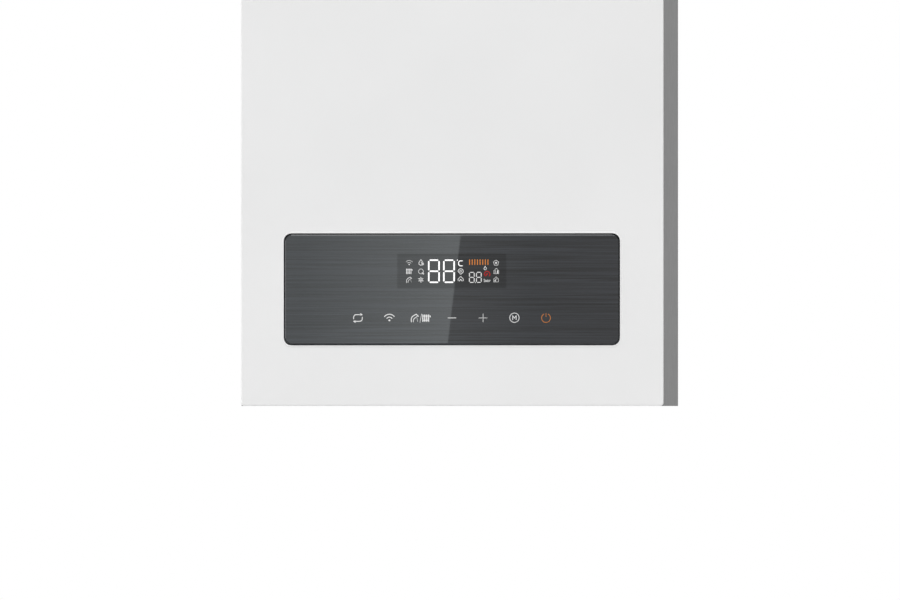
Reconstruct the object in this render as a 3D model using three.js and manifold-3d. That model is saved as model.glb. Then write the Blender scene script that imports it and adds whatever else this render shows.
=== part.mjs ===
// Wall-hung condensing combi boiler. Millimetres, +Z up, front towards -Y, wall plane y = 0.
// The pieces are drawn in the casing's frame (z = 0 at its lower edge); the exported group moves
// them so that the origin lies on the back face of the wall bracket, at its centre.
import * as THREE from "three";
import { mergeVertices } from "three/addons/utils/BufferGeometryUtils.js";
import Module from "manifold-3d";

const wasm = await Module();
wasm.setup();

// ---- Driving dimensions: casing ----
const casingWidth = 420;
const casingHeight = 740;
const casingDepth = 320;
const sheet = 1.5;
const seat = 0.3; // gap between pieces that rest on each other
const coverReturn = 10;
const coverEdge = 1.4;
const coverCorner = 3;
const foldWidth = 15;
const bottomLevel = 48; // underside of the bottom plate
const bottomSetback = 58; // from the cover's face to the bottom plate's front edge
const bottomFold = 10;
const rearLift = 20;
const sealWidth = 8;
const sealInset = 5.5;

// ---- Wall bracket and the rear panel's recess for it ----
const railWidth = 300;
const railHeight = 34;
const railThickness = 3;
const railLip = 6;
const railDrop = 55; // from the casing's top to the rail's centre
const railSlotOffset = 112;
const railSlotLength = 26;
const railSlotWidth = 9;
const hookOffset = 58;
const hookWidth = 30;
const hookRise = 14;
const recessDepth = 12;
const recessMargin = 14;

// ---- Control panel and control box ----
const glassWidth = 332.6;
const glassHeight = 109.4;
const glassCorner = 6.5;
const glassThickness = 4;
const glassBevel = 0.8;
const glassProud = 1;
const glassLift = 61.2;
const glassGap = 1;
const rimWidth = 1.6;
const rimHeight = 0.7;
const displayWidth = 108.5;
const displayHeight = 34.3;
const displayDrop = 19.5; // from the glass's upper edge to the display's upper edge
const keyPitch = 31;
const keyLift = 26.2;
const keyCount = 7;
const boxHalfWidth = 190;
const boxBottom = 54;
const boxHeight = 132;
const boxFrontSetback = 20; // from the cover's face to the control box's front wall
const boxDepth = 57.5;
const boxWall = 2.5;
const boxCorner = 5;
const lidThickness = 2.2;
const frameInset = 5;
const frameWall = 4;
const frameLedge = 4;
const board = 1.6;
const hingeLift = 8; // from the box's bottom to the hinge axis
const hingeSetback = 14; // from the box's front wall to the hinge axis
const pinRadius = 3;
const pinClearance = 0.25;
const pinHeadRadius = 6;
const pinHeadLength = 4;
const pinReach = 9; // how far a pin reaches into the box
const standoffLength = 35;
const boardHalf = 100;

// ---- Expansion vessel and support plate ----
const vesselRadius = 170;
const vesselThickness = 66;
const vesselWall = 1.6;
const vesselHeight = 480; // height of its axis
const vesselPortX = 50;
const supportGap = 1.4;
const supportLow = 440;
const supportHigh = 650;
const supportFold = 30;

// ---- Heat exchanger, burner and door ----
const exchangerX = 45;
const exchangerHeight = 545;
const exchangerRadius = 103;
const exchangerFlange = 108;
const exchangerLength = 140;
const exchangerRibs = 3;
const chamberRadius = 84;
const coilDepth = 8;
const chamberFloor = 20;
const gasketThickness = 3;
const gasketInner = 88;
const gasketOuter = 100;
const doorThickness = 6;
const doorRadius = 104;
const ductDepth = 40;
const ductWall = 2.5;
const ductEndRadius = 44;
const burnerRadius = 30;
const burnerLength = 96;
const burnerFlange = 40;
const insulationThickness = 16;
const electrodeAngle = -30;
const electrodeRing = 62;
const electrodeRadius = 5;
const waterSpigotRadius = 11;
const returnSpigotX = 110;
const flowSpigotX = -10;
const spigotBack = 52; // behind the exchanger's back face
const spigotLow = 445;
const drainRadius = 12;
const drainLow = 430;

// ---- Fan, venturi, gas valve ----
const fanX = -112;
const fanHeight = 500;
const spiralStart = 44; // inner radius of the volute at its tongue
const spiralEnd = 64; // inner radius of the volute at its outlet
const tongueAngle = 50;
const outletReach = 66;
const outletLow = 28;
const impellerRadius = 40;
const impellerEye = 22;
const impellerBlades = 7;
const bladeThickness = 1.6;
const bladeSweep = 38; // degrees that a blade's tip trails its root
const fanMouth = 44;
const fanPlateRadius = 52;
const motorRadius = 32;
const motorLength = 34;
const fanShaftRadius = 3.5;
const shaftClearance = 0.7;
const venturiLength = 44;
const venturiFlange = 34;
const venturiThroat = 13;
const gasPortRadius = 9;
const gasPortDrop = 60;
const gasValveWidth = 68;
const gasValveDepth = 56;
const gasValveHeight = 80;
const silencerRadius = 26;
const silencerWall = 3;
const silencerCan = 34;
const silencerTop = 655;
const silencerSetback = 120;

// ---- Flue ----
const flueSetback = 130; // from the wall to the flue's axis
const flueRadius = 30;
const flueWall = 1.5;
const collarRadius = 50;
const collarHeight = 45;
const flueFlangeRadius = 70;
const flueFlangeThickness = 3;
const flueSealThickness = 2;
const topHole = 47;

// ---- Connections and water blocks ----
const connectionSetback = 115;
const heatingX = 130;
const domesticX = 70;
const stubRadius = 13;
const stubBore = 9;
const stubEnd = 10; // height of the stubs' lower ends above the casing's lower edge
const stubDepth = 34;
const stubNut = 19;
const blockLow = 62;
const blockTop = 150;
const blockInner = 58;
const blockOuter = 166;
const barrelHeight = 100;
const barrelRadius = 26;
const columnRadius = 20;
const portX = 75;
const portSpread = 26; // half the height between a block's two rear ports
const portRadius = 12;
const exchangerPlates = 4;
const plateStackHalf = 92;
const plateStackHeight = 78;
const plateStackDepth = 43;
const plateEdge = 1.6;
const sidePortX = 100;
const pipeRadius = 9;
const bendRadius = 20;

// ---- Pump, diverter, sensors, valves ----
const pumpLift = 4; // from the water blocks' tops to the pump's housing
const pumpAside = 2; // between the flow sensor and the pump's housing
const pumpRadius = 44;
const pumpDepth = 50;
const pumpSetback = 100;
const pumpCavity = 35;
const pumpImpellerRadius = 31;
const pumpImpellerBlades = 5;
const pumpShaftRadius = 4;
const pumpMotorRadius = 40;
const pumpMotorLength = 80;
const spindleRadius = 4;
const spindleClearance = 0.5;
const spindleTravel = 8;
const actuatorLift = 26;
const actuatorHeight = 48;
const sensorRadius = 14;
const sensorHeight = 46;
const turbineRadius = 9;
const turbineVanes = 5;
const frontPortLength = 33;
const safetyX = 148;
const safetyLength = 38;
const pressureX = 114;
const fillX = 90;
const fillHeight = 84;
const knobRadius = 13;
const knobFlutes = 8;
const gasStubRadius = 10;
const gasBore = 6;
const trapX = 45;
const trapSetback = 190;
const trapRadius = 28;
const trapLow = 205;
const trapTop = 330;
const trapOutletX = 5;
const grommetX = -40;
const grommetSetback = 225;
const grommetBore = 4;
const grommetNeck = 8.2;
const fitGap = 0.4; // radial gap between a pipe and the hole that it passes
const trapOutletRadius = 8;
const safetyOutletRadius = 7;
const safetyOutletSetback = 168;
const fillStemRadius = 3.5;

// ---- Values worked out from the driving dimensions ----
const halfWidth = casingWidth / 2;
const coverFace = -casingDepth;
const coverInside = coverFace + sheet;
const coverBack = coverFace + coverReturn;
const casingFront = coverBack + seat;
const innerHalf = halfWidth - sheet;
const plateHalf = innerHalf - seat;
const rearBack = -(sheet + seat);
const rearFront = rearBack - sheet;
const railCentre = casingHeight - railDrop;
const bottomTop = bottomLevel + sheet;
const bottomFront = coverFace + bottomSetback;
const sealBack = casingFront - seat;
const sealFront = coverInside + seat;

const glassFront = coverFace - glassProud;
const glassBack = glassFront + glassThickness;
const glassTop = glassLift + glassHeight;
const boxFront = coverFace + boxFrontSetback;
const boxBack = boxFront + boxDepth;
const boxTop = boxBottom + boxHeight;
const hingeY = boxFront + hingeSetback;
const hingeZ = boxBottom + hingeLift;

const ledgeFront = boxFront - 8;
const boardLow = boxBottom + 20;
const boardHigh = boxTop - 14;

const vesselBack = rearFront - seat;
const vesselFront = vesselBack - vesselThickness;
const supportBack = vesselFront - supportGap;
const supportFront = supportBack - sheet;
const exchangerBack = supportFront - seat;
const exchangerFront = exchangerBack - exchangerLength;
const gasketBack = exchangerFront - seat;
const gasketFront = gasketBack - gasketThickness;
const doorBack = gasketFront - seat;
const doorFront = doorBack - doorThickness;
const ductFront = doorFront - ductDepth;
const flueY = -flueSetback;
const flueFlangeLow = casingHeight + seat + flueSealThickness + seat;
const spigotY = exchangerBack - spigotBack;

const fanBack = doorFront - seat;
const fanFront = ductFront;
const fanPlateBack = fanBack + seat + ductWall;
const venturiFront = fanPlateBack + seat;
const venturiBack = venturiFront + venturiLength;
const gasPortY = venturiFront + venturiLength / 2;
const gasPortLow = fanHeight - gasPortDrop;
const gasValveTop = gasPortLow - seat - 14;
const gasValveLow = gasValveTop - gasValveHeight;

const connectionY = -connectionSetback;
const frontPortEnd = connectionY - frontPortLength;
const stackFront = -77.7;
const stackBack = stackFront + plateStackDepth;
const pumpX = domesticX + sensorRadius + pumpAside + pumpRadius;
const pumpHeight = blockTop + pumpLift + pumpRadius;
const pumpBack = -pumpSetback;
const pumpFront = pumpBack - pumpDepth;
const fillY = frontPortEnd - seat - 12;
const trapOutletLow = stubEnd + 6;
const pumpOutletTop = pumpHeight + pumpRadius + 14;
const spindleFloor = blockTop - 32;
const vesselMiddle = vesselBack - vesselThickness / 2;
const vesselPortLow = vesselHeight - vesselRadius - 10;

// ---- Shapes and solids ----
const degree = Math.PI / 180;

// A closed geometry as a solid whose faces point out.
function solidOf(geometry) {
  geometry.deleteAttribute("normal");
  geometry.deleteAttribute("uv");
  const merged = mergeVertices(geometry, 1e-4);
  const index = merged.index.array;
  const corners = [];
  for (let i = 0; i < index.length; i += 3) {
    const [a, b, c] = index.slice(i, i + 3);
    if (a !== b && b !== c && c !== a) corners.push([a, b, c]);
  }
  const build = (triangles) =>
    new wasm.Manifold(
      new wasm.Mesh({
        numProp: 3,
        vertProperties: new Float32Array(merged.attributes.position.array),
        triVerts: new Uint32Array(triangles.flat()),
      }),
    );
  const made = build(corners);
  return made.volume() < 0 ? build(corners.map(([a, b, c]) => [a, c, b])) : made;
}

function join(...solids) {
  return solids.reduce((whole, solid) => whole.add(solid));
}

function cut(solid, ...tools) {
  return tools.reduce((rest, tool) => rest.subtract(tool), solid);
}

function block(x0, x1, y0, y1, z0, z1) {
  const geometry = new THREE.BoxGeometry(x1 - x0, y1 - y0, z1 - z0);
  return solidOf(geometry.translate((x0 + x1) / 2, (y0 + y1) / 2, (z0 + z1) / 2));
}

// How an extruded shape is laid in the world: its plane and the way it is extruded, by axis.
const turns = {
  // shape plane (x, z), extruded towards -y
  y: new THREE.Matrix4().makeBasis(
    new THREE.Vector3(1, 0, 0),
    new THREE.Vector3(0, 0, 1),
    new THREE.Vector3(0, -1, 0),
  ),
  // shape plane (y, z), extruded towards +x
  x: new THREE.Matrix4().makeBasis(
    new THREE.Vector3(0, 1, 0),
    new THREE.Vector3(0, 0, 1),
    new THREE.Vector3(1, 0, 0),
  ),
  // shape plane (x, y), extruded towards +z
  z: new THREE.Matrix4(),
};

// A shape extruded between two places along an axis, with an optional bevel on its far end:
// the front for y, the top for z.
function prism(shape, axis, low, high, { bevel = 0, bevelSteps = 2, curveSegments = 2 } = {}) {
  const geometry = new THREE.ExtrudeGeometry(shape, {
    depth: high - low - bevel,
    bevelEnabled: bevel > 0,
    bevelThickness: bevel,
    bevelSize: bevel,
    bevelOffset: -bevel,
    bevelSegments: bevelSteps,
    curveSegments,
  });
  geometry.applyMatrix4(turns[axis]);
  const start = axis === "y" ? high : low;
  geometry.translate(axis === "x" ? start : 0, axis === "y" ? start : 0, axis === "z" ? start : 0);
  const solid = solidOf(geometry);
  if (!bevel) return solid;
  const far = 2000;
  const behind = {
    x: () => block(low - far, low, -far, far, -far, far),
    y: () => block(-far, far, high, high + far, -far, far),
    z: () => block(-far, far, -far, far, low - far, low),
  };
  return cut(solid, behind[axis]());
}

function roundedRect(x0, x1, y0, y1, radius) {
  const shape = new THREE.Shape();
  shape.moveTo(x0 + radius, y0);
  shape.absarc(x1 - radius, y0 + radius, radius, -90 * degree, 0, false);
  shape.absarc(x1 - radius, y1 - radius, radius, 0, 90 * degree, false);
  shape.absarc(x0 + radius, y1 - radius, radius, 90 * degree, 180 * degree, false);
  shape.absarc(x0 + radius, y0 + radius, radius, 180 * degree, 270 * degree, false);
  return shape;
}

function outline(points) {
  return new THREE.Shape(points.map(([x, y]) => new THREE.Vector2(x, y)));
}

// A cylinder or, with six sides, a hexagon along an axis through the point (x, y, z).
function rod(axis, [x, y, z], radius, low, high, sides = 12) {
  const geometry = new THREE.CylinderGeometry(radius, radius, high - low, sides);
  const middle = (low + high) / 2;
  if (axis === "z") geometry.rotateX(90 * degree).translate(x, y, middle);
  if (axis === "y") geometry.translate(x, middle, z);
  if (axis === "x") geometry.rotateZ(-90 * degree).translate(middle, y, z);
  return solidOf(geometry);
}

// The corner radius of a hole of some sides that clears a round piece by a gap.
function clearing(radius, gap, sides) {
  return (radius + gap) / Math.cos(Math.PI / sides);
}

// The corner radius of a round piece that stands inside a bore of some sides, a gap away from it.
function within(radius, gap, sides) {
  return radius * Math.cos(Math.PI / sides) - gap;
}

// A profile of [radius, place along the axis] revolved about an axis through (x, y, z).
function turned(axis, [x, y, z], profile, sides = 16) {
  const points = profile.map(([r, h]) => new THREE.Vector2(r, h));
  const geometry = new THREE.LatheGeometry(points, sides);
  if (axis === "z") geometry.rotateX(90 * degree);
  if (axis === "x") geometry.rotateZ(-90 * degree);
  return solidOf(geometry.translate(x, y, z));
}

// A closed ring profile between two radii and two places along the axis.
function ring(axis, at, inner, outer, low, high, sides = 18) {
  const profile = [
    [inner, low],
    [outer, low],
    [outer, high],
    [inner, high],
    [inner, low],
  ];
  return turned(axis, at, profile, sides);
}

// A polyline with rounded corners.
function route(points, bend) {
  const corners = points.map(([x, y, z]) => new THREE.Vector3(x, y, z));
  const path = new THREE.CurvePath();
  let from = corners[0];
  for (let i = 1; i < corners.length - 1; i += 1) {
    const corner = corners[i];
    const inward = corner.clone().sub(corners[i - 1]).normalize();
    const onward = corners[i + 1].clone().sub(corner).normalize();
    const start = corner.clone().addScaledVector(inward, -bend);
    const end = corner.clone().addScaledVector(onward, bend);
    path.add(new THREE.LineCurve3(from, start));
    path.add(new THREE.QuadraticBezierCurve3(start, corner, end));
    from = end;
  }
  path.add(new THREE.LineCurve3(from, corners.at(-1)));
  return path;
}

// A tube along a route, with a bore unless its inner radius is 0.
function tube(points, bend, outer, inner, steps, sides = 10) {
  const section = new THREE.Shape().absarc(0, 0, outer, 0, 360 * degree, false);
  if (inner > 0) section.holes.push(new THREE.Path().absarc(0, 0, inner, 0, 360 * degree, true));
  const options = { steps, extrudePath: route(points, bend), curveSegments: sides / 2 };
  return solidOf(new THREE.ExtrudeGeometry(section, options));
}

function turnedAboutZ(solid, [x, y], angle) {
  return solid.translate([-x, -y, 0]).rotate([0, 0, angle]).translate([x, y, 0]);
}

// ---- Finishes ----
function finish(color, roughness, metalness) {
  return new THREE.MeshStandardMaterial({ color, roughness, metalness, flatShading: true });
}

const finishes = {
  whiteEnamel: finish(0xe9e9e9, 0.45, 0),
  greyEnamel: finish(0x888888, 0.5, 0),
  galvanised: finish(0xa9adaf, 0.45, 0.8),
  darkGlass: finish(0x4d5153, 0.15, 0.4),
  blackPlastic: finish(0x26282a, 0.6, 0),
  greyPlastic: finish(0x6f7375, 0.6, 0),
  whitePlastic: finish(0xd8d8d4, 0.55, 0),
  clearPlastic: finish(0xcfd8dc, 0.2, 0),
  circuit: finish(0x1f5a3a, 0.5, 0),
  stainless: finish(0xb9bcbe, 0.35, 0.9),
  castAluminium: finish(0xa4a7a9, 0.55, 0.8),
  brass: finish(0xb89a58, 0.4, 0.9),
  copper: finish(0xb87348, 0.35, 0.9),
  steel: finish(0x8d9194, 0.4, 0.9),
  redEnamel: finish(0xa3221d, 0.4, 0),
  rubber: finish(0x2b2b2b, 0.85, 0),
  seal: finish(0x3a3b3c, 0.95, 0),
  ceramic: finish(0xe6e2d8, 0.5, 0),
  redPlastic: finish(0xb0271f, 0.5, 0),
  bluePlastic: finish(0x2b5f9e, 0.5, 0),
};

function piece(name, solid, material) {
  const made = solid.getMesh();
  const geometry = new THREE.BufferGeometry();
  geometry.setAttribute("position", new THREE.BufferAttribute(made.vertProperties, 3));
  geometry.setIndex(new THREE.BufferAttribute(made.triVerts, 1));
  geometry.computeVertexNormals();
  const mesh = new THREE.Mesh(geometry, material);
  mesh.name = name;
  return mesh;
}

function group(name, ...members) {
  const made = new THREE.Group();
  made.name = name;
  made.add(...members);
  return made;
}

// ---- Casing ----
function wallBracket() {
  const low = railCentre - railHeight / 2;
  const high = railCentre + railHeight / 2;
  const plate = block(-railWidth / 2, railWidth / 2, -railThickness, 0, low, high);
  const lipFront = -(railThickness + railLip);
  const lip = block(-railWidth / 2, railWidth / 2, lipFront, -railThickness / 2, low, low + 2);
  const upturnBack = rearBack - recessDepth - sheet - seat;
  const upturnFront = upturnBack - railThickness;
  const hooks = [-hookOffset, hookOffset].map((x) => {
    const [left, right] = [x - hookWidth / 2, x + hookWidth / 2];
    const arm = block(left, right, upturnFront, -railThickness / 2, high - railThickness, high);
    const upturn = block(left, right, upturnFront, upturnBack, high - railThickness, high + hookRise);
    return join(arm, upturn);
  });
  const slots = [-railSlotOffset, railSlotOffset].map((x) => {
    const half = railSlotLength / 2;
    const wide = railSlotWidth / 2;
    const slot = roundedRect(x - half, x + half, railCentre - wide, railCentre + wide, wide - 0.01);
    return prism(slot, "y", -2 * railThickness, 1);
  });
  return piece("wall_bracket", cut(join(plate, lip, ...hooks), ...slots), finishes.galvanised);
}

function rearPanel() {
  const top = casingHeight - sheet - seat;
  const flat = block(-plateHalf, plateHalf, rearFront, rearBack, rearLift, top);
  const halfX = railWidth / 2 + recessMargin;
  const low = railCentre - railHeight / 2 - recessMargin;
  const high = railCentre + railHeight / 2 + recessMargin + hookRise / 2;
  const floorFront = rearBack - recessDepth - sheet;
  const window = block(-halfX, halfX, rearFront - 1, 1, low, high);
  const tray = cut(
    block(-halfX, halfX, floorFront, rearBack, low, high),
    block(-halfX + sheet, halfX - sheet, floorFront + sheet, 1, low + sheet, high - sheet),
  );
  const armTop = railCentre + railHeight / 2;
  const slots = [-hookOffset, hookOffset].map((x) => {
    const half = hookWidth / 2 + 1;
    const slotLow = armTop + seat - hookRise - railThickness - 1.5;
    return block(x - half, x + half, floorFront - 1, floorFront + sheet + 1, slotLow, armTop + seat);
  });
  // Two pressed ribs stiffen the sheet below the vessel.
  const ribs = [100, 270].map((z) => {
    const rib = outline([[rearFront + 0.5, z - 12], [rearFront - 5, z - 7], [rearFront - 5, z + 7],
      [rearFront + 0.5, z + 12]]);
    const groove = outline([[rearBack + 1, z - 13], [rearBack + 0.01, z - 11.6], [rearBack - 5, z - 6.4],
      [rearBack - 5, z + 6.4], [rearBack + 0.01, z + 11.6], [rearBack + 1, z + 13]]);
    return { rib: prism(rib, "x", -170, 170), groove: prism(groove, "x", -168, 168) };
  });
  const pressed = join(cut(flat, window), tray, ...ribs.map((r) => r.rib));
  return piece("rear_panel", cut(pressed, ...slots, ...ribs.map((r) => r.groove)), finishes.galvanised);
}

// A C-section: the outer wall with its front and rear edges folded inwards.
function sidePanel(name, side, material) {
  const fold = halfWidth - foldWidth;
  const profile = outline(
    [
      [halfWidth - 1, casingFront],
      [halfWidth, casingFront + 1],
      [halfWidth, -1],
      [halfWidth - 1, 0],
      [fold, 0],
      [fold, -sheet],
      [innerHalf, -sheet],
      [innerHalf, casingFront + sheet],
      [fold, casingFront + sheet],
      [fold, casingFront],
    ].map(([x, y]) => [side * x, y]),
  );
  return piece(name, prism(profile, "z", 0, casingHeight), material);
}

function topPanel() {
  const under = casingHeight - sheet;
  const frontHalf = halfWidth - foldWidth - seat;
  const behindFold = casingFront + sheet + seat;
  const main = block(-plateHalf, plateHalf, behindFold, rearBack, under, casingHeight);
  const lip = block(-frontHalf, frontHalf, casingFront, behindFold + 1, under, casingHeight);
  const fold = block(-frontHalf, frontHalf, casingFront, casingFront + sheet, under - 38, casingHeight);
  const hole = rod("z", [0, flueY, 0], topHole, under - 1, casingHeight + 1, 24);
  return piece("top_panel", cut(join(main, lip, fold), hole), finishes.greyEnamel);
}

function bottomPlate() {
  const back = rearFront - seat;
  const low = bottomLevel - bottomFold;
  const main = block(-plateHalf, plateHalf, bottomFront, back, bottomLevel, bottomTop);
  const folds = [
    block(-plateHalf, plateHalf, bottomFront, bottomFront + sheet, low, bottomTop),
    block(-plateHalf, sheet - plateHalf, bottomFront, back, low, bottomTop),
    block(plateHalf - sheet, plateHalf, bottomFront, back, low, bottomTop),
  ];
  const holes = [
    [heatingX, connectionY, stubRadius],
    [-heatingX, connectionY, stubRadius],
    [domesticX, connectionY, stubRadius],
    [-domesticX, connectionY, stubRadius],
    [0, connectionY, gasStubRadius],
    [trapOutletX, -trapSetback, trapOutletRadius],
    [safetyX, -safetyOutletSetback, safetyOutletRadius],
    [fillX, fillY, 2 * fillStemRadius],
    [grommetX, -grommetSetback, grommetNeck],
  ].map(([x, y, radius]) =>
    rod("z", [x, y, 0], clearing(radius, fitGap, 10), bottomLevel - 1, bottomTop + 1, 10),
  );
  return piece("bottom_plate", cut(join(main, ...folds), ...holes), finishes.galvanised);
}

// The channel in front of the vessel that carries the heat exchanger.
function supportPlate() {
  const main = block(-plateHalf, plateHalf, supportFront, supportBack, supportLow, supportHigh);
  const folds = [
    block(-plateHalf, sheet - plateHalf, supportFront, supportBack + supportFold, supportLow, supportHigh),
    block(plateHalf - sheet, plateHalf, supportFront, supportBack + supportFold, supportLow, supportHigh),
  ];
  return piece("support_plate", join(main, ...folds), finishes.galvanised);
}

// ---- Cover ----
function panelRect(grow, radius) {
  return roundedRect(
    -glassWidth / 2 - grow,
    glassWidth / 2 + grow,
    glassLift - grow,
    glassTop + grow,
    radius,
  );
}

function frontCover() {
  const face = roundedRect(-halfWidth, halfWidth, 0, casingHeight, coverCorner);
  const skin = prism(face, "y", coverFace, coverBack, { bevel: coverEdge });
  const hollow = block(-innerHalf, innerHalf, coverInside, coverBack + 1, sheet, casingHeight - sheet);
  const rimOuter = panelRect(glassGap + rimWidth, glassCorner + glassGap + rimWidth);
  const rim = prism(rimOuter, "y", coverFace - rimHeight, coverInside - 0.5, { bevel: rimHeight });
  const hole = prism(panelRect(glassGap, glassCorner + glassGap), "y", coverFace - 5, coverInside + 1);
  const channels = [-70, 70].map((x) => {
    const channel = outline([[x - 11, coverInside - 0.5], [x - 11, coverInside], [x - 8, coverInside + 4],
      [x + 8, coverInside + 4], [x + 11, coverInside], [x + 11, coverInside - 0.5]]);
    return prism(channel, "z", glassTop + 50, casingHeight - 60);
  });
  const shell = join(cut(skin, hollow), rim, ...channels);
  return piece("front_cover", cut(shell, hole), finishes.whiteEnamel);
}

function coverSeal() {
  const outerX = innerHalf - sealInset;
  const low = sheet + sealInset;
  const high = casingHeight - low;
  const outer = roundedRect(-outerX, outerX, low, high, 4);
  const inner = roundedRect(sealWidth - outerX, outerX - sealWidth, low + sealWidth, high - sealWidth, 2);
  outer.holes.push(inner);
  return piece("cover_seal", prism(outer, "y", sealFront, sealBack), finishes.seal);
}

// A bent spring clip on the top panel's front fold.
function coverCatch(name, x) {
  const high = casingHeight - sheet - sealInset - sealWidth - 3;
  const low = high - 18;
  const bow = outline([[sealBack, low], [sealBack, high], [sealBack - 1, high], [sealBack - 1, high - 3],
    [sealFront, high - 6], [sealFront, low + 6], [sealBack - 1, low + 3], [sealBack - 1, low]]);
  const inside = outline([[sealBack - 1, low + 4.2], [sealBack - 1, high - 4.2], [sealFront + 1, high - 7],
    [sealFront + 1, low + 7]]);
  bow.holes.push(inside);
  return piece(name, prism(bow, "x", x - 10, x + 10), finishes.steel);
}

// ---- Control box ----
function controlBox() {
  const face = roundedRect(-boxHalfWidth, boxHalfWidth, boxBottom, boxTop, boxCorner);
  const shell = prism(face, "y", boxFront, boxBack, { bevel: 1, bevelSteps: 1 });
  const innerX = boxHalfWidth - boxWall;
  const cavity = prism(
    roundedRect(-innerX, innerX, boxBottom + boxWall, boxTop - boxWall, boxCorner - 2),
    "y",
    boxFront + boxWall,
    boxBack + 1,
    { curveSegments: 1 },
  );
  const posts = [];
  const bosses = [];
  const holes = [];
  for (const side of [-1, 1]) {
    const x = side * (boardHalf - 6);
    for (const z of [boardLow + 6, boardHigh - 6]) {
      posts.push(rod("y", [x, 0, z], 4, boxFront + 1, boxFront + boxWall + standoffLength, 6));
    }
    const [near, far] = [innerX - 5, boxHalfWidth - 1].map((v) => side * v);
    bosses.push(rod("x", [0, hingeY, hingeZ], 7, Math.min(near, far), Math.max(near, far), 8));
    const [inEnd, outEnd] = [innerX - 6, boxHalfWidth + 1].map((v) => side * v);
    const bore = clearing(pinRadius, pinClearance, 10);
    holes.push(rod("x", [0, hingeY, hingeZ], bore, Math.min(inEnd, outEnd), Math.max(inEnd, outEnd), 10));
  }
  const box = join(cut(shell, cavity), ...posts, ...bosses);
  return piece("control_box", cut(box, ...holes), finishes.greyPlastic);
}

function controlBoxLid() {
  const front = boxBack + seat;
  const outer = roundedRect(-boxHalfWidth, boxHalfWidth, boxBottom, boxTop, boxCorner);
  const plate = prism(outer, "y", front, front + lidThickness, { curveSegments: 1 });
  const slots = [];
  for (let i = 0; i < 6; i += 1) {
    const x = -150 + i * 9;
    slots.push(block(x, x + 3, front - 1, front + lidThickness + 1, boxTop - 52, boxTop - 18));
  }
  const cableExits = [30, 60, 90, 120].map((x) =>
    rod("y", [x, 0, boxBottom + 16], 5, front - 1, front + 4, 6),
  );
  return piece("control_box_lid", cut(plate, ...slots, ...cableExits), finishes.greyPlastic);
}

function pivotPin(name, side) {
  const inEnd = boxHalfWidth - pinReach;
  const ends = (from, to) => [Math.min(side * from, side * to), Math.max(side * from, side * to)];
  const at = [0, hingeY, hingeZ];
  const shank = rod("x", at, pinRadius, ...ends(inEnd, plateHalf), 10);
  const head = rod("x", at, pinHeadRadius, ...ends(plateHalf - pinHeadLength, plateHalf), 10);
  return piece(name, join(shank, head), finishes.steel);
}

function touchGlass() {
  const glass = prism(panelRect(0, glassCorner), "y", glassFront, glassBack, {
    bevel: glassBevel,
    bevelSteps: 1,
    curveSegments: 3,
  });
  return piece("touch_glass", glass, finishes.darkGlass);
}

function panelFrame() {
  const front = glassBack + seat;
  const back = boxFront - seat;
  const outer = prism(panelRect(-frameInset, glassCorner), "y", front, back);
  const window = prism(panelRect(-frameInset - frameWall, 4), "y", front - 1, ledgeFront);
  const opening = prism(panelRect(-frameInset - frameWall - frameLedge, 4), "y", ledgeFront - 1, back + 1);
  return piece("panel_frame", cut(outer, window, opening), finishes.blackPlastic);
}

function displayBoard() {
  const back = ledgeFront - seat;
  const front = back - board;
  const sheetEdge = panelRect(-frameInset - frameWall - seat, 4);
  const plate = prism(sheetEdge, "y", front, back);
  const high = glassTop - displayDrop;
  const low = high - displayHeight;
  const halfX = displayWidth / 2 - 2;
  const face = glassBack + 2 * seat;
  const module = block(-halfX, halfX, face, front + 0.5, low + 2, high - 2);
  const keys = [];
  for (let i = 0; i < keyCount; i += 1) {
    const x = (i - (keyCount - 1) / 2) * keyPitch;
    keys.push(rod("y", [x, 0, glassLift + keyLift], 4.5, face, front + 0.5, 6));
  }
  return piece("display_board", join(plate, module, ...keys), finishes.circuit);
}

function mainBoard() {
  const front = boxFront + boxWall + standoffLength + seat;
  const back = front + board;
  const plate = block(-boardHalf, boardHalf, front, back, boardLow, boardHigh);
  const deep = boxBack - 3;
  const relays = [-86, -66, -46, -26].map((x) =>
    block(x, x + 15, back - 0.5, deep, boardHigh - 30, boardHigh - 10),
  );
  const coil = block(36, 74, back - 0.5, deep, boardHigh - 44, boardHigh - 12);
  const capacitors = [4, 20].map((x) => rod("y", [x, 0, boardHigh - 26], 6, back - 0.5, deep, 8));
  const sockets = [-80, -44, -8, 28, 64].map((x) =>
    block(x, x + 26, back - 0.5, back + 9, boardLow + 5, boardLow + 14),
  );
  return piece("main_board", join(plate, ...relays, coil, ...capacitors, ...sockets), finishes.circuit);
}

function ignitionTransformer() {
  const back = boxFront + boxWall + seat;
  const body = prism(roundedRect(-176, -118, boxBottom + 24, boxBottom + 72, 4), "y", back, back + 30);
  const lugs = block(-182, -112, back, back + 4, boxBottom + 40, boxBottom + 56);
  const output = rod("z", [-147, back + 15, 0], 5, boxBottom + 71, boxBottom + 86, 8);
  return piece("ignition_transformer", join(body, lugs, output), finishes.blackPlastic);
}

function terminalBlock() {
  const back = boxFront + boxWall + seat;
  const body = block(114, 178, back, back + 20, boxBottom + 22, boxBottom + 48);
  const grooves = [];
  const wells = [];
  for (let i = 0; i < 6; i += 1) {
    const x = 114 + (i + 0.5) * (64 / 6);
    if (i > 0) grooves.push(block(x - 6, x - 4.7, back + 10, back + 21, boxBottom + 21, boxBottom + 49));
    wells.push(rod("y", [x, 0, boxBottom + 41], 2.6, back + 12, back + 21, 6));
  }
  return piece("terminal_block", cut(body, ...grooves, ...wells), finishes.whitePlastic);
}

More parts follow.
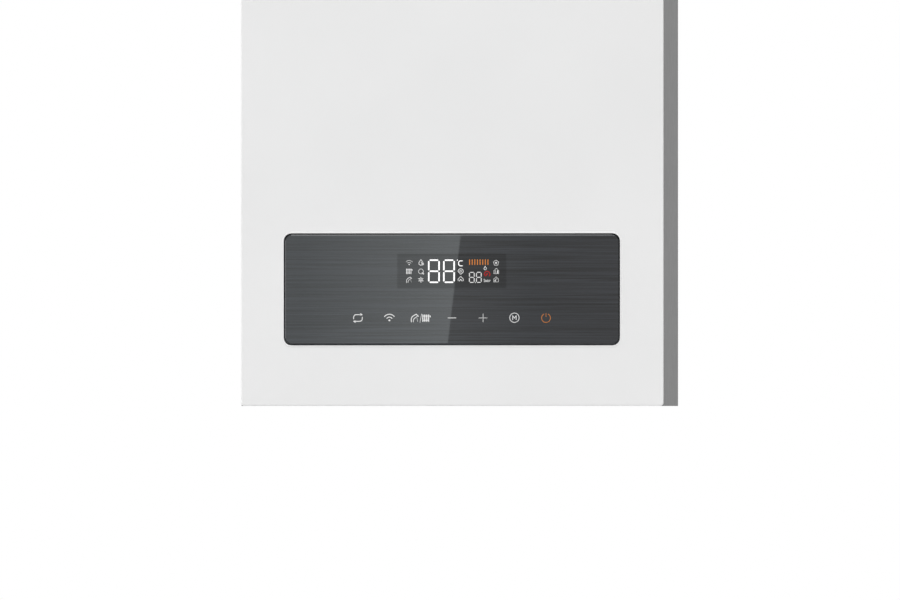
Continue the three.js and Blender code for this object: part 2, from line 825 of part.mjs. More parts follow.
function cableGrommet() {
  const profile = [
    [grommetBore, bottomLevel - 4],
    [9, bottomLevel - 4],
    [11, bottomLevel - 2],
    [11, bottomLevel - seat],
    [grommetNeck, bottomLevel - seat],
    [grommetNeck, bottomTop + seat],
    [11, bottomTop + seat],
    [10, bottomTop + 3],
    [grommetBore, bottomTop + 3],
    [grommetBore, bottomLevel - 4],
  ];
  return piece("cable_grommet", turned("z", [grommetX, -grommetSetback, 0], profile, 8), finishes.rubber);
}

// ---- Combustion ----
function heatExchanger() {
  const outer = [
    [0, 0],
    [exchangerRadius - 6, 0],
    [exchangerRadius, -6],
  ];
  const ribPitch = (exchangerLength - 34) / exchangerRibs;
  for (let i = 0; i < exchangerRibs; i += 1) {
    const h = -14 - i * ribPitch;
    outer.push([exchangerRadius, h], [exchangerRadius + 3, h - 6], [exchangerRadius, h - 12]);
  }
  const flangeBack = -(exchangerLength - 8);
  outer.push(
    [exchangerRadius, flangeBack],
    [exchangerFlange, flangeBack],
    [exchangerFlange, -exchangerLength],
  );
  const coilFront = -(exchangerLength - insulationThickness - 2);
  const inner = [
    [chamberRadius, -exchangerLength],
    [chamberRadius, coilFront],
    [chamberRadius - coilDepth, coilFront + coilDepth],
    [chamberRadius - coilDepth, -chamberFloor],
    [0, -chamberFloor],
  ];
  const shell = turned("y", [exchangerX, exchangerBack, exchangerHeight], [...outer, ...inner], 16);
  const shellTop = exchangerHeight + exchangerRadius;
  const spigot = within(flueRadius - flueWall, fitGap, 16);
  const flueSpigot = rod("z", [0, flueY, 0], spigot, shellTop - 40, shellTop + 27, 12);
  const flueBore = rod("z", [0, flueY, 0], spigot - 2, shellTop - 46, shellTop + 28, 8);
  const returnSpigot = rod("z", [returnSpigotX, spigotY, 0], waterSpigotRadius, spigotLow, spigotLow + 36, 8);
  const flowSpigot = rod("z", [flowSpigotX, spigotY, 0], waterSpigotRadius, spigotLow, spigotLow + 36, 8);
  const drain = rod("z", [trapX, -trapSetback, 0], drainRadius, drainLow, drainLow + 26, 8);
  const body = join(shell, flueSpigot, returnSpigot, flowSpigot, drain);
  return piece("heat_exchanger", cut(body, flueBore), finishes.stainless);
}

function doorGasket() {
  const at = [exchangerX, 0, exchangerHeight];
  const gasket = ring("y", at, gasketInner, gasketOuter, gasketFront, gasketBack, 16);
  return piece("door_gasket", gasket, finishes.rubber);
}

// The duct that leads from the fan's outlet to the burner, drawn at its outer or inner wall.
function ductOutline(inset, left) {
  const low = fanHeight + outletLow - ductWall + inset;
  const high = fanHeight + spiralEnd + ductWall - inset;
  const radius = ductEndRadius - inset;
  const shape = new THREE.Shape();
  shape.moveTo(left, low);
  shape.lineTo(left + 22, low);
  shape.lineTo(exchangerX, exchangerHeight - radius);
  shape.absarc(exchangerX, exchangerHeight, radius, -90 * degree, 90 * degree, false);
  shape.lineTo(left + 22, high);
  shape.lineTo(left, high);
  return shape;
}

function electrodePlace() {
  const angle = electrodeAngle * degree;
  return [exchangerX + electrodeRing * Math.cos(angle), 0, exchangerHeight + electrodeRing * Math.sin(angle)];
}

function burnerDoor() {
  const at = [exchangerX, 0, exchangerHeight];
  const left = fanX + outletReach + seat;
  const disc = rod("y", at, doorRadius, doorFront, doorBack, 24);
  const duct = prism(ductOutline(0, left), "y", ductFront, doorFront + 1, {
    bevel: 2,
    bevelSteps: 1,
    curveSegments: 5,
  });
  const flangeLow = fanHeight + outletLow - ductWall - 7;
  const flangeHigh = fanHeight + spiralEnd + ductWall + 7;
  const flange = block(left, left + 4, ductFront, doorFront + 1, flangeLow, flangeHigh);
  const hollow = ductOutline(ductWall, left - 1);
  const cavity = prism(hollow, "y", ductFront + ductWall, doorFront, { curveSegments: 5 });
  const mouth = rod("y", at, burnerRadius - 2, doorFront - 1, doorBack + 1, 12);
  const electrodeBore = clearing(electrodeRadius, fitGap, 10);
  const electrodeHole = rod("y", electrodePlace(), electrodeBore, doorFront - 1, doorBack + 1, 10);
  const body = join(disc, duct, flange);
  return piece("burner_door", cut(body, cavity, mouth, electrodeHole), finishes.castAluminium);
}

function doorInsulation() {
  const at = [exchangerX, 0, exchangerHeight];
  const front = doorBack + seat;
  const outer = chamberRadius - 2;
  const back = front + insulationThickness;
  const disc = ring("y", at, burnerFlange + 1, outer, front, back, 16);
  const hole = rod("y", electrodePlace(), electrodeRadius + 1, front - 1, back + 1, 10);
  return piece("door_insulation", cut(disc, hole), finishes.ceramic);
}

function burnerTube() {
  const front = doorBack + seat;
  const profile = [
    [0, front + burnerLength],
    [burnerRadius, front + burnerLength],
    [burnerRadius, front + 2],
    [burnerFlange, front + 2],
    [burnerFlange, front],
    [burnerRadius - 1.5, front],
    [burnerRadius - 1.5, front + burnerLength - 2],
    [0, front + burnerLength - 2],
  ];
  return piece("burner_tube", turned("y", [exchangerX, 0, exchangerHeight], profile, 12), finishes.stainless);
}

function ignitionElectrode() {
  const at = electrodePlace();
  const root = doorFront - seat;
  const ceramic = rod("y", at, electrodeRadius, root - 26, doorBack + 18, 10);
  const hex = rod("y", at, 8, root - 4, root, 6);
  const wire = rod("y", at, 1.5, doorBack + 17, doorBack + 42, 8);
  const pin = rod("y", at, 2, root - 34, root - 25, 8);
  return piece("ignition_electrode", join(ceramic, hex, wire, pin), finishes.ceramic);
}

// The fan's spiral: its radius grows clockwise, seen from the front, from the tongue to the outlet.
function spiral(grow, reach) {
  const shape = new THREE.Shape();
  const steps = 18;
  for (let i = 0; i <= steps; i += 1) {
    const share = i / steps;
    const angle = (tongueAngle - share * (tongueAngle + 270)) * degree;
    const radius = spiralStart + (spiralEnd - spiralStart) * share + grow;
    const x = fanX + radius * Math.cos(angle);
    const z = fanHeight + radius * Math.sin(angle);
    if (i === 0) shape.moveTo(x, z);
    else shape.lineTo(x, z);
  }
  shape.lineTo(fanX + reach, fanHeight + spiralEnd + grow);
  shape.lineTo(fanX + reach, fanHeight + outletLow - grow);
  return shape;
}

function fanHousing() {
  const at = [fanX, 0, fanHeight];
  const outer = prism(spiral(ductWall, outletReach), "y", fanFront, fanBack, { bevel: 2, bevelSteps: 1 });
  const cavity = prism(spiral(0, outletReach + 1), "y", fanFront + ductWall, fanBack - ductWall);
  const mouth = rod("y", at, fanMouth, fanBack - ductWall - 1, fanBack + 1, 16);
  const shaftHole = rod("y", at, fanShaftRadius + shaftClearance, fanFront - 1, fanFront + ductWall + 1, 8);
  return piece("fan_housing", cut(outer, cavity, mouth, shaftHole), finishes.castAluminium);
}

function fanBackPlate() {
  const at = [fanX, 0, fanHeight];
  const plate = rod("y", at, fanPlateRadius, fanBack + seat, fanPlateBack, 20);
  const eye = rod("y", at, impellerEye - 2, fanBack - 1, fanPlateBack + 1, 16);
  return piece("fan_back_plate", cut(plate, eye), finishes.castAluminium);
}

function fanImpeller() {
  const at = [fanX, 0, fanHeight];
  const front = fanFront + ductWall + 2;
  const back = fanBack - ductWall - 4;
  const disc = rod("y", at, impellerRadius, front, front + 2, 14);
  const hub = turned("y", at, [[0, front], [11, front], [5, front + 18], [0, front + 18]], 8);
  const shroud = ring("y", at, impellerEye + 2, impellerRadius, back - 1.6, back, 14);
  const shaft = rod("y", at, fanShaftRadius, fanFront - 24, front + 1, 8);
  const turnBy = ([x, z], angle) => {
    const [cos, sin] = [Math.cos(angle), Math.sin(angle)];
    return [x * cos - z * sin, x * sin + z * cos];
  };
  const tip = turnBy([impellerRadius - 0.5, 0], -bladeSweep * degree);
  const lean = bladeThickness / impellerEye;
  const inner = [14, 0];
  const middle = [30, -3];
  const bladeShape = new THREE.Shape();
  bladeShape.moveTo(...inner);
  bladeShape.quadraticCurveTo(...middle, ...tip);
  bladeShape.lineTo(...turnBy(tip, lean / 2));
  bladeShape.quadraticCurveTo(...turnBy(middle, lean), ...turnBy(inner, lean * 1.4));
  const blade = prism(bladeShape, "y", front + 1, back - 1, { curveSegments: 2 });
  const blades = [];
  for (let i = 0; i < impellerBlades; i += 1) {
    blades.push(blade.rotate([0, (360 * i) / impellerBlades, 0]).translate([fanX, 0, fanHeight]));
  }
  return piece("fan_impeller", join(disc, hub, shroud, shaft, ...blades), finishes.blackPlastic);
}

function fanMotor() {
  const back = fanFront - seat;
  const bore = fanShaftRadius + shaftClearance;
  const profile = [
    [0, back - motorLength],
    [motorRadius - 7, back - motorLength],
    [motorRadius, back - motorLength + 5],
    [motorRadius, back - 18],
    [motorRadius - 2, back - 15],
    [motorRadius, back - 12],
    [motorRadius, back - 6],
    [motorRadius + 5, back - 6],
    [motorRadius + 5, back],
    [bore, back],
    [bore, back - 26],
    [0, back - 26],
  ];
  const can = turned("y", [fanX, 0, fanHeight], profile, 14);
  const socketTop = fanHeight + motorRadius + 11;
  const socket = block(fanX - 13, fanX + 13, back - 28, back - 8, fanHeight + motorRadius - 6, socketTop);
  return piece("fan_motor", join(can, socket), finishes.blackPlastic);
}

function venturi() {
  const mouth = impellerEye - 2;
  const at = [fanX, 0, fanHeight];
  const middle = venturiFront + venturiLength * 0.45;
  const profile = [
    [mouth, venturiFront],
    [venturiFlange, venturiFront],
    [venturiFlange, venturiFront + 4],
    [mouth + 4, venturiFront + 5],
    [venturiThroat + 6, middle],
    [mouth + 3, venturiBack - 5],
    [silencerRadius, venturiBack],
    [mouth, venturiBack],
    [venturiThroat, middle],
    [mouth, venturiFront],
  ];
  const horn = turned("y", at, profile, 12);
  const port = rod("z", [fanX, gasPortY, 0], gasPortRadius, gasPortLow, fanHeight - venturiThroat - 2, 8);
  const bore = rod("z", [fanX, gasPortY, 0], gasPortRadius - 3.5, gasPortLow - 1, fanHeight - 4, 6);
  return piece("venturi", cut(join(horn, port), bore), finishes.castAluminium);
}

function gasValve() {
  const [left, right] = [fanX - gasValveWidth / 2, fanX + gasValveWidth / 2];
  const [front, back] = [gasPortY - gasValveDepth / 2, gasPortY + gasValveDepth / 2];
  const low = gasValveLow;
  const high = gasValveTop;
  const face = roundedRect(left, right, low, high, 6);
  const body = prism(face, "y", front, back, { bevel: 2, bevelSteps: 1 });
  const outlet = rod("z", [fanX, gasPortY, 0], 13, high - 1, gasPortLow - seat, 10);
  const inlet = rod("z", [fanX, gasPortY, 0], 14, low - 14, low + 1, 6);
  const coil = rod("y", [fanX + 12, 0, low + 52], 15, front - 20, front + 1, 10);
  const coilCap = rod("y", [fanX + 12, 0, low + 52], 9, front - 24, front - 19, 8);
  const throttle = rod("y", [fanX - 20, 0, low + 56], 7, front - 8, front + 1, 8);
  const governor = rod("y", [fanX - 16, 0, low + 24], 11, front - 12, front + 1, 8);
  const plug = block(fanX + 2, fanX + 26, front - 14, front + 1, low + 10, low + 28);
  const parts = [body, outlet, inlet, coil, coilCap, throttle, governor, plug];
  return piece("gas_valve", join(...parts), finishes.castAluminium);
}

function gasPipe() {
  const end = gasValveLow - 14 - seat;
  const points = [
    [0, connectionY, stubEnd],
    [0, connectionY, 272],
    [fanX, gasPortY, end - 36],
    [fanX, gasPortY, end],
  ];
  const pipe = tube(points, bendRadius, pipeRadius, 0, 13, 8);
  const stub = rod("z", [0, connectionY, 0], gasStubRadius, stubEnd, bottomTop + 2, 12);
  const nut = rod("z", [0, connectionY, 0], 15, bottomTop + seat, blockLow, 6);
  const bore = rod("z", [0, connectionY, 0], gasBore, stubEnd - 1, stubEnd + stubDepth, 8);
  return piece("gas_pipe", cut(join(pipe, stub, nut), bore), finishes.copper);
}

function airSilencer() {
  const y = -silencerSetback;
  const points = [
    [fanX, venturiBack + seat, fanHeight],
    [fanX, y, fanHeight],
    [fanX, y, silencerTop],
  ];
  const pipe = tube(points, 34, silencerRadius, silencerRadius - silencerWall, 7, 10);
  const inside = silencerRadius - silencerWall / 2;
  const can = ring("z", [fanX, y, 0], inside, silencerCan, fanHeight + 66, silencerTop - 12, 12);
  return piece("air_silencer", join(pipe, can), finishes.blackPlastic);
}

// ---- Flue ----
function fluePipe() {
  const low = exchangerHeight + exchangerRadius + 9;
  const high = flueFlangeLow - seat;
  const pipe = ring("z", [0, flueY, 0], flueRadius - flueWall, flueRadius, low, high, 16);
  return piece("flue_pipe", pipe, finishes.whitePlastic);
}

function flueSeal() {
  const low = casingHeight + seat;
  const high = low + flueSealThickness;
  const seal = ring("z", [0, flueY, 0], collarRadius, flueFlangeRadius - 4, low, high, 16);
  return piece("flue_seal", seal, finishes.rubber);
}

function flueAdapter() {
  const at = [0, flueY, 0];
  const low = flueFlangeLow;
  const top = casingHeight + collarHeight;
  const bore = collarRadius - flueWall;
  const flangeTop = low + flueFlangeThickness;
  const profile = [
    [bore, low],
    [flueFlangeRadius, low],
    [flueFlangeRadius, flangeTop],
    [collarRadius, flangeTop],
    [collarRadius, top],
    [bore, top],
    [bore, low],
  ];
  const collar = turned("z", at, profile, 18);
  const inner = ring("z", at, flueRadius - flueWall, flueRadius, low, top, 14);
  const webs = [30, 150, 270].map((turn) => {
    const web = block(flueRadius - 0.7, collarRadius - 0.7, flueY - 1, flueY + 1, low, low + 18);
    return turnedAboutZ(web, [0, flueY], turn);
  });
  const ports = [-1, 1].map((side) => rod("z", [side * 60, flueY, 0], 6, low + 1, low + 16, 8));
  const parts = [collar, inner, ...webs, ...ports];
  return piece("flue_adapter", join(...parts), finishes.whitePlastic);
}

// ---- Expansion vessel ----
function expansionVessel() {
  const half = vesselThickness / 2;
  // Half of the pressed shell, from its flat face to the rolled joint, at a wall's depth.
  const shell = (wall) => [
    [vesselRadius - 24, half - wall],
    [vesselRadius - 9, half - 6 - wall * 0.6],
    [vesselRadius - 3 - wall, half - 17],
  ];
  const mirrored = (points) => points.map(([r, h]) => [r, -h]).reverse();
  const joint = [
    [vesselRadius - 3, 3],
    [vesselRadius, 0],
    [vesselRadius - 3, -3],
  ];
  const outer = [[0, half], ...shell(0), ...joint, ...mirrored(shell(0)), [0, -half]];
  const inside = shell(vesselWall);
  const inner = [[0, half - vesselWall], ...inside, ...mirrored(inside), [0, vesselWall - half]];
  const at = [0, vesselMiddle, vesselHeight];
  const bottomAtPort = vesselHeight - Math.sqrt(vesselRadius ** 2 - vesselPortX ** 2);
  const port = rod("z", [vesselPortX, vesselMiddle, 0], 8, vesselPortLow, bottomAtPort + 6, 8);
  const bore = rod("z", [vesselPortX, vesselMiddle, 0], 4, vesselPortLow - 1, bottomAtPort + 20, 6);
  const valveTop = vesselHeight + Math.sqrt(vesselRadius ** 2 - 120 ** 2) + 14;
  const valve = rod("z", [-120, vesselMiddle, 0], 4, valveTop - 24, valveTop, 6);
  const body = cut(turned("y", at, outer, 18), turned("y", at, inner, 9));
  return piece("expansion_vessel", cut(join(body, port, valve), bore), finishes.redEnamel);
}

function vesselHose() {
  const turnZ = vesselPortLow - 38;
  const points = [
    [vesselPortX, vesselMiddle, vesselPortLow - seat],
    [vesselPortX, vesselMiddle, turnZ],
    [190, vesselMiddle - 22, turnZ],
    [190, connectionY, barrelHeight],
    [blockOuter + 6 + seat, connectionY, barrelHeight],
  ];
  return piece("vessel_hose", tube(points, 17, 5.5, 0, 20, 6), finishes.rubber);
}

// ---- Water blocks ----
// A moulded block on one side: a lying barrel, two columns over the connections, two rear ports.
function waterBlock(side, extras) {
  const x = (value) => side * value;
  const span = (a, b) => [Math.min(x(a), x(b)), Math.max(x(a), x(b))];
  const barrel = rod("x", [0, connectionY, barrelHeight], barrelRadius, ...span(blockInner, blockOuter), 8);
  const end = rod("x", [0, connectionY, barrelHeight], 13, ...span(blockOuter - 1, blockOuter + 6), 6);
  const columns = [domesticX, heatingX].map((v) =>
    rod("z", [x(v), connectionY, 0], columnRadius, blockLow, blockTop, 8),
  );
  const stubs = [domesticX, heatingX].flatMap((v) => [
    rod("z", [x(v), connectionY, 0], stubRadius, stubEnd, blockLow + 1, 10),
    rod("z", [x(v), connectionY, 0], stubNut, bottomTop + seat, blockLow + 1, 6),
  ]);
  const bores = [domesticX, heatingX].map((v) =>
    rod("z", [x(v), connectionY, 0], stubBore, stubEnd - 1, stubEnd + stubDepth, 8),
  );
  const ports = [-portSpread, portSpread].map((rise) =>
    rod("y", [x(portX), 0, barrelHeight + rise], portRadius, connectionY, stackFront - seat, 8),
  );
  return cut(join(barrel, end, ...columns, ...stubs, ...ports, ...extras), ...bores);
}

function returnBlock() {
  const extras = [
    rod("y", [safetyX, 0, barrelHeight], 11, frontPortEnd, connectionY, 8),
    rod("y", [pressureX, 0, barrelHeight], 7, frontPortEnd, connectionY, 6),
    rod("y", [fillX, 0, fillHeight], 7.5, frontPortEnd, connectionY, 6),
  ];
  return piece("return_block", waterBlock(1, extras), finishes.blackPlastic);
}

function flowBlock() {
  const extras = [rod("z", [-sidePortX, connectionY, 0], 11, barrelHeight, blockTop, 8)];
  const spindleBore = rod("z", [-heatingX, connectionY, 0], spindleRadius + spindleClearance, spindleFloor,
    blockTop + 1, 12);
  return piece("flow_block", cut(waterBlock(-1, extras), spindleBore), finishes.blackPlastic);
}

function plateHeatExchanger() {
  const low = barrelHeight - plateStackHeight / 2;
  const high = barrelHeight + plateStackHeight / 2;
  const outlineOf = (inset) =>
    roundedRect(inset - plateStackHalf, plateStackHalf - inset, low + inset, high - inset, 16 - inset);
  const core = prism(outlineOf(plateEdge), "y", stackFront, stackBack, { curveSegments: 1 });
  const pitch = plateStackDepth / exchangerPlates;
  const plates = [];
  for (let i = 0; i < exchangerPlates; i += 1) {
    const y = stackFront + pitch * (i + 0.5);
    plates.push(prism(outlineOf(0), "y", y - 1.2, y + 1.2, { curveSegments: 1 }));
  }
  return piece("plate_heat_exchanger", join(core, ...plates), finishes.stainless);
}

// ---- Pump ----
function pumpVolute() {
  const at = [pumpX, 0, pumpHeight];
  const floor = pumpBack - 9;
  const profile = [
    [0, pumpBack],
    [pumpRadius - 9, pumpBack],
    [pumpRadius, pumpBack - 9],
    [pumpRadius, pumpFront],
    [pumpCavity, pumpFront],
    [pumpCavity, floor],
    [0, floor],
  ];
  const cup = turned("y", at, profile, 16);
  const inlet = rod("z", [heatingX, connectionY, 0], 14, blockTop + seat, pumpHeight - pumpCavity - 1, 8);
  const outlet = rod("z", [pumpX, spigotY, 0], 12, pumpHeight + pumpCavity + 1, pumpOutletTop, 8);
  const inletBore = rod("z", [heatingX, connectionY, 0], 9, blockTop, pumpHeight - pumpCavity + 6, 8);
  const outletBore = rod("z", [pumpX, spigotY, 0], 8, pumpHeight + pumpCavity - 6, pumpOutletTop + 1, 8);
  return piece("pump_volute", cut(join(cup, inlet, outlet), inletBore, outletBore), finishes.greyPlastic);
}

function pumpImpeller() {
  const at = [pumpX, 0, pumpHeight];
  const front = pumpFront + 4;
  const back = pumpFront + 24;
  const disc = rod("y", at, pumpImpellerRadius, front, front + 2.5, 10);
  const cap = ring("y", at, 12, pumpImpellerRadius, back - 2, back, 10);
  const shaft = rod("y", at, pumpShaftRadius, pumpFront - 44, back + 2, 6);
  const vane = prism(
    outline([[3, -1], [17, -4.5], [29, -15.5], [15.5, -6], [3, -3]]),
    "y",
    front + 1,
    back - 1,
  );
  const vanes = [];
  for (let i = 0; i < pumpImpellerBlades; i += 1) {
    vanes.push(vane.rotate([0, (360 * i) / pumpImpellerBlades, 0]).translate([pumpX, 0, pumpHeight]));
  }
  return piece("pump_impeller", join(disc, cap, shaft, ...vanes), finishes.bluePlastic);
}

function pumpMotor() {
  const back = pumpFront - seat;
  const front = back - pumpMotorLength;
  const bore = pumpShaftRadius + shaftClearance;
  const profile = [
    [0, front],
    [pumpMotorRadius - 14, front],
    [pumpMotorRadius - 12, front + 4],
    [pumpMotorRadius - 4, front + 4],
    [pumpMotorRadius, front + 8],
    [pumpMotorRadius, back - 10],
    [pumpRadius, back - 6],
    [pumpRadius, back],
    [bore, back],
    [bore, back - 48],
    [0, back - 48],
  ];
  const can = turned("y", [pumpX, 0, pumpHeight], profile, 16);
  const canTop = pumpHeight + pumpMotorRadius;
  const face = roundedRect(pumpX - 24, pumpX + 24, canTop - 8, canTop + 16, 4);
  const terminals = prism(face, "y", front + 10, back - 14, { curveSegments: 1 });
  return piece("pump_motor", join(can, terminals), finishes.greyPlastic);
}

// ---- Diverter, sensors and valves ----
function diverterActuator() {
  const [x, y] = [-heatingX, connectionY];
  const low = blockTop + seat;
  const headLow = blockTop + actuatorLift;
  const headHigh = headLow + actuatorHeight;
  const legs = [-14, 14].map((offset) =>
    block(x + offset - 2.5, x + offset + 2.5, y - 7, y + 7, low, headLow + 1),
  );
  const base = ring("z", [x, y, 0], spindleRadius + 3.5, columnRadius - 1, low, low + 3, 10);
  const plan = roundedRect(x - 26, x + 18, y - 26, y + 26, 7);
  const head = prism(plan, "z", headLow, headHigh, { bevel: 3, bevelSteps: 1 });
  const bore = rod("z", [x, y, 0], spindleRadius + spindleClearance, headLow - 1, headHigh - 14, 12);
  return piece("diverter_actuator", cut(join(head, base, ...legs), bore), finishes.blackPlastic);
}

function diverterSpindle() {
  const at = [-heatingX, connectionY, 0];
  const low = spindleFloor + 3;
  const high = blockTop + actuatorLift + actuatorHeight - 14 - spindleTravel - 3;
  const shank = rod("z", at, spindleRadius, low, high, 10);
  const collar = rod("z", at, 7, blockTop + 8, blockTop + 11, 10);
  return piece("diverter_spindle", join(shank, collar), finishes.brass);
}

function flowSensorBody() {
  const at = [domesticX, connectionY, 0];
  const low = blockTop + seat;
  const high = low + sensorHeight;
  const body = rod("z", at, sensorRadius, low, high, 12);
  const cavity = rod("z", at, turbineRadius + 1.5, low + 5, high - 6, 12);
  const bearings = rod("z", at, 2.3, low + 1.5, high - 3, 8);
  const windows = [
    block(domesticX - 20, domesticX + 20, connectionY - 4.5, connectionY + 4.5, low + 9, high - 10),
    block(domesticX - 4.5, domesticX + 4.5, connectionY - 20, connectionY + 20, low + 9, high - 10),
  ];
  return piece("flow_sensor_body", cut(body, cavity, bearings, ...windows), finishes.clearPlastic);
}

function flowTurbine() {
  const at = [domesticX, connectionY, 0];
  const low = blockTop + seat;
  const middle = low + sensorHeight / 2;
  const shaft = rod("z", at, 1.7, low + 2, low + sensorHeight - 3.5, 6);
  const hub = rod("z", at, 3.2, middle - 10, middle + 10, 6);
  const vanes = [];
  for (let i = 0; i < turbineVanes; i += 1) {
    const vane = block(0, turbineRadius, -0.7, 0.7, -9, 9).rotate([28, 0, 0]);
    const turnedVane = vane.rotate([0, 0, (360 * i) / turbineVanes]);
    vanes.push(turnedVane.translate([domesticX, connectionY, middle]));
  }
  return piece("flow_turbine", join(shaft, hub, ...vanes), finishes.bluePlastic);
}

// A hand knob's fluted outline.
function fluted([x, y], radius, flutes) {
  const points = [];
  const steps = flutes * 2;
  for (let i = 0; i < steps; i += 1) {
    const angle = (i / steps) * 360 * degree;
    const reach = radius * (i % 2 === 0 ? 0.9 : 1);
    points.push([x + reach * Math.cos(angle), y + reach * Math.sin(angle)]);
  }
  return outline(points);
}

function fillingValve() {
  const body = rod("z", [fillX, fillY, 0], 11.5, blockLow, blockLow + 42, 12);
  const neck = rod("y", [fillX, 0, fillHeight], 7.5, fillY, frontPortEnd - seat, 10);
  const bore = rod("z", [fillX, fillY, 0], fillStemRadius + shaftClearance, blockLow - 1, blockLow + 30, 10);
  return piece("filling_valve", cut(join(body, neck), bore), finishes.brass);
}

function fillingKnob() {
  const [low, high] = [bottomLevel - 32, bottomLevel - 6];
  const grip = prism(fluted([fillX, fillY], knobRadius, knobFlutes), "z", low, high);
  const stem = rod("z", [fillX, fillY, 0], fillStemRadius, high - 1, blockLow + 28, 10);
  const pointer = block(fillX - 1.5, fillX + 1.5, fillY - knobRadius - 4, fillY, low, low + 8);
  return piece("filling_knob", join(grip, stem, pointer), finishes.bluePlastic);
}

function safetyValve() {
  const at = [safetyX, 0, barrelHeight];
  const back = frontPortEnd - seat;
  const front = back - safetyLength;
  const profile = [
    [0, back - safetyLength + 20],
    [fillStemRadius + shaftClearance, back - safetyLength + 20],
    [fillStemRadius + shaftClearance, front],
    [9, front],
    [11, front + 3],
    [11, back - 14],
    [15, back - 12],
    [15, back],
    [0, back],
  ];
  const body = turned("y", at, profile, 12);
  const outletY = -safetyOutletSetback;
  const spout = rod("z", [safetyX, outletY, 0], safetyOutletRadius, stubEnd + 8, barrelHeight - 8, 10);
  const bore = rod("z", [safetyX, outletY, 0], safetyOutletRadius - 2, stubEnd + 7, barrelHeight - 14, 8);
  return piece("safety_valve", cut(join(body, spout), bore), finishes.brass);
}

function safetyValveKnob() {
  const front = frontPortEnd - seat - safetyLength;
  const grip = prism(fluted([safetyX, barrelHeight], 15, knobFlutes), "y", front - 21, front - seat, {
    bevel: 1.5,
    bevelSteps: 1,
  });
  const stem = rod("y", [safetyX, 0, barrelHeight], fillStemRadius, front - 1, front + 17, 10);
  return piece("safety_valve_knob", join(grip, stem), finishes.redPlastic);
}

function pressureSensor() {
  const at = [pressureX, 0, barrelHeight];
  const back = frontPortEnd - seat;
  const profile = [
    [0, back],
    [8.5, back],
    [8.5, back - 8],
    [7, back - 9],
    [7, back - 22],
    [5, back - 23],
    [5, back - 32],
    [0, back - 32],
  ];
  return piece("pressure_sensor", turned("y", at, profile, 10), finishes.blackPlastic);
}

function flowPipe() {
  const points = [
    [flowSpigotX, spigotY, spigotLow - seat],
    [flowSpigotX, spigotY, 400],
    [-sidePortX, connectionY, 362],
    [-sidePortX, connectionY, blockTop + seat],
  ];
  return piece("flow_pipe", tube(points, bendRadius, pipeRadius, 0, 13, 8), finishes.copper);
}

function returnPipe() {
  const points = [
    [pumpX, spigotY, pumpOutletTop + seat],
    [pumpX, spigotY, 312],
    [returnSpigotX, spigotY, 388],
    [returnSpigotX, spigotY, spigotLow - seat],
  ];
  return piece("return_pipe", tube(points, bendRadius, pipeRadius, 0, 10, 8), finishes.copper);
}

function airVent() {
  const low = blockTop + seat;
  const profile = [
    [0, low],
    [8, low],
    [8, low + 6],
    [13, low + 10],
    [13, low + 44],
    [10, low + 48],
    [5, low + 49],
    [5, low + 58],
    [0, low + 58],
  ];
  return piece("air_vent", turned("z", [-domesticX, connectionY, 0], profile, 10), finishes.brass);
}

function condensateTrap() {
  const y = -trapSetback;
  const profile = [
    [0, trapLow],
    [trapRadius + 3, trapLow],
    [trapRadius + 3, trapLow + 24],
    [trapRadius, trapLow + 25],
    [trapRadius, trapTop - 14],
    [9, trapTop + 6],
    [9, drainLow - 14],
    [drainRadius, drainLow - 12],
    [drainRadius, drainLow - seat],
    [0, drainLow - seat],
  ];
  const bottle = turned("z", [trapX, y, 0], profile, 12);
  const outletTop = trapTop - 36;
  const arm = rod("x", [0, y, outletTop], trapOutletRadius, trapOutletX, trapX - trapRadius + 4, 8);
  const dropTop = outletTop + trapOutletRadius;
  const boreTop = trapOutletLow + stubDepth;
  const drop = rod("z", [trapOutletX, y, 0], trapOutletRadius, trapOutletLow, dropTop, 8);
  const bore = rod("z", [trapOutletX, y, 0], trapOutletRadius - 2, trapOutletLow - 1, boreTop, 8);
  return piece("condensate_trap", cut(join(bottle, arm, drop), bore), finishes.greyPlastic);
}

// ---- Assembly ----
const casing = group(
  "casing",
  wallBracket(),
  rearPanel(),
  sidePanel("left_side_panel", -1, finishes.greyEnamel),
  sidePanel("right_side_panel", 1, finishes.greyEnamel),
  topPanel(),
  bottomPlate(),
  supportPlate(),
  cableGrommet(),
  coverCatch("cover_catch_left", -120),
  coverCatch("cover_catch_right", 120),
  pivotPin("pivot_pin_left", -1),
  pivotPin("pivot_pin_right", 1),
);

const cover = group("cover", frontCover(), coverSeal());

const controls = group(
  "controls",
  controlBox(),
  controlBoxLid(),
  panelFrame(),
  touchGlass(),
  displayBoard(),
  mainBoard(),
  ignitionTransformer(),
  terminalBlock(),
);

const combustion = group(
  "combustion",
  heatExchanger(),
  doorGasket(),
  burnerDoor(),
  doorInsulation(),
  burnerTube(),
  ignitionElectrode(),
  fanHousing(),
  fanBackPlate(),
  fanImpeller(),
  fanMotor(),
  venturi(),
  gasValve(),
  gasPipe(),
  airSilencer(),
  fluePipe(),
  flueSeal(),
  flueAdapter(),
);

const water = group(
  "water",
  expansionVessel(),
  vesselHose(),
  returnBlock(),
  flowBlock(),
  plateHeatExchanger(),
  pumpVolute(),
  pumpImpeller(),
  pumpMotor(),
  diverterActuator(),
  diverterSpindle(),
  flowSensorBody(),
  flowTurbine(),
  fillingValve(),
  fillingKnob(),
  safetyValve(),
  safetyValveKnob(),
  pressureSensor(),
  flowPipe(),
  returnPipe(),
  airVent(),
  condensateTrap(),
);

const boiler = group("combi_boiler", casing, cover, controls, combustion, water);
boiler.children.forEach((part) => part.position.set(0, 0, -railCentre));

export default boiler;
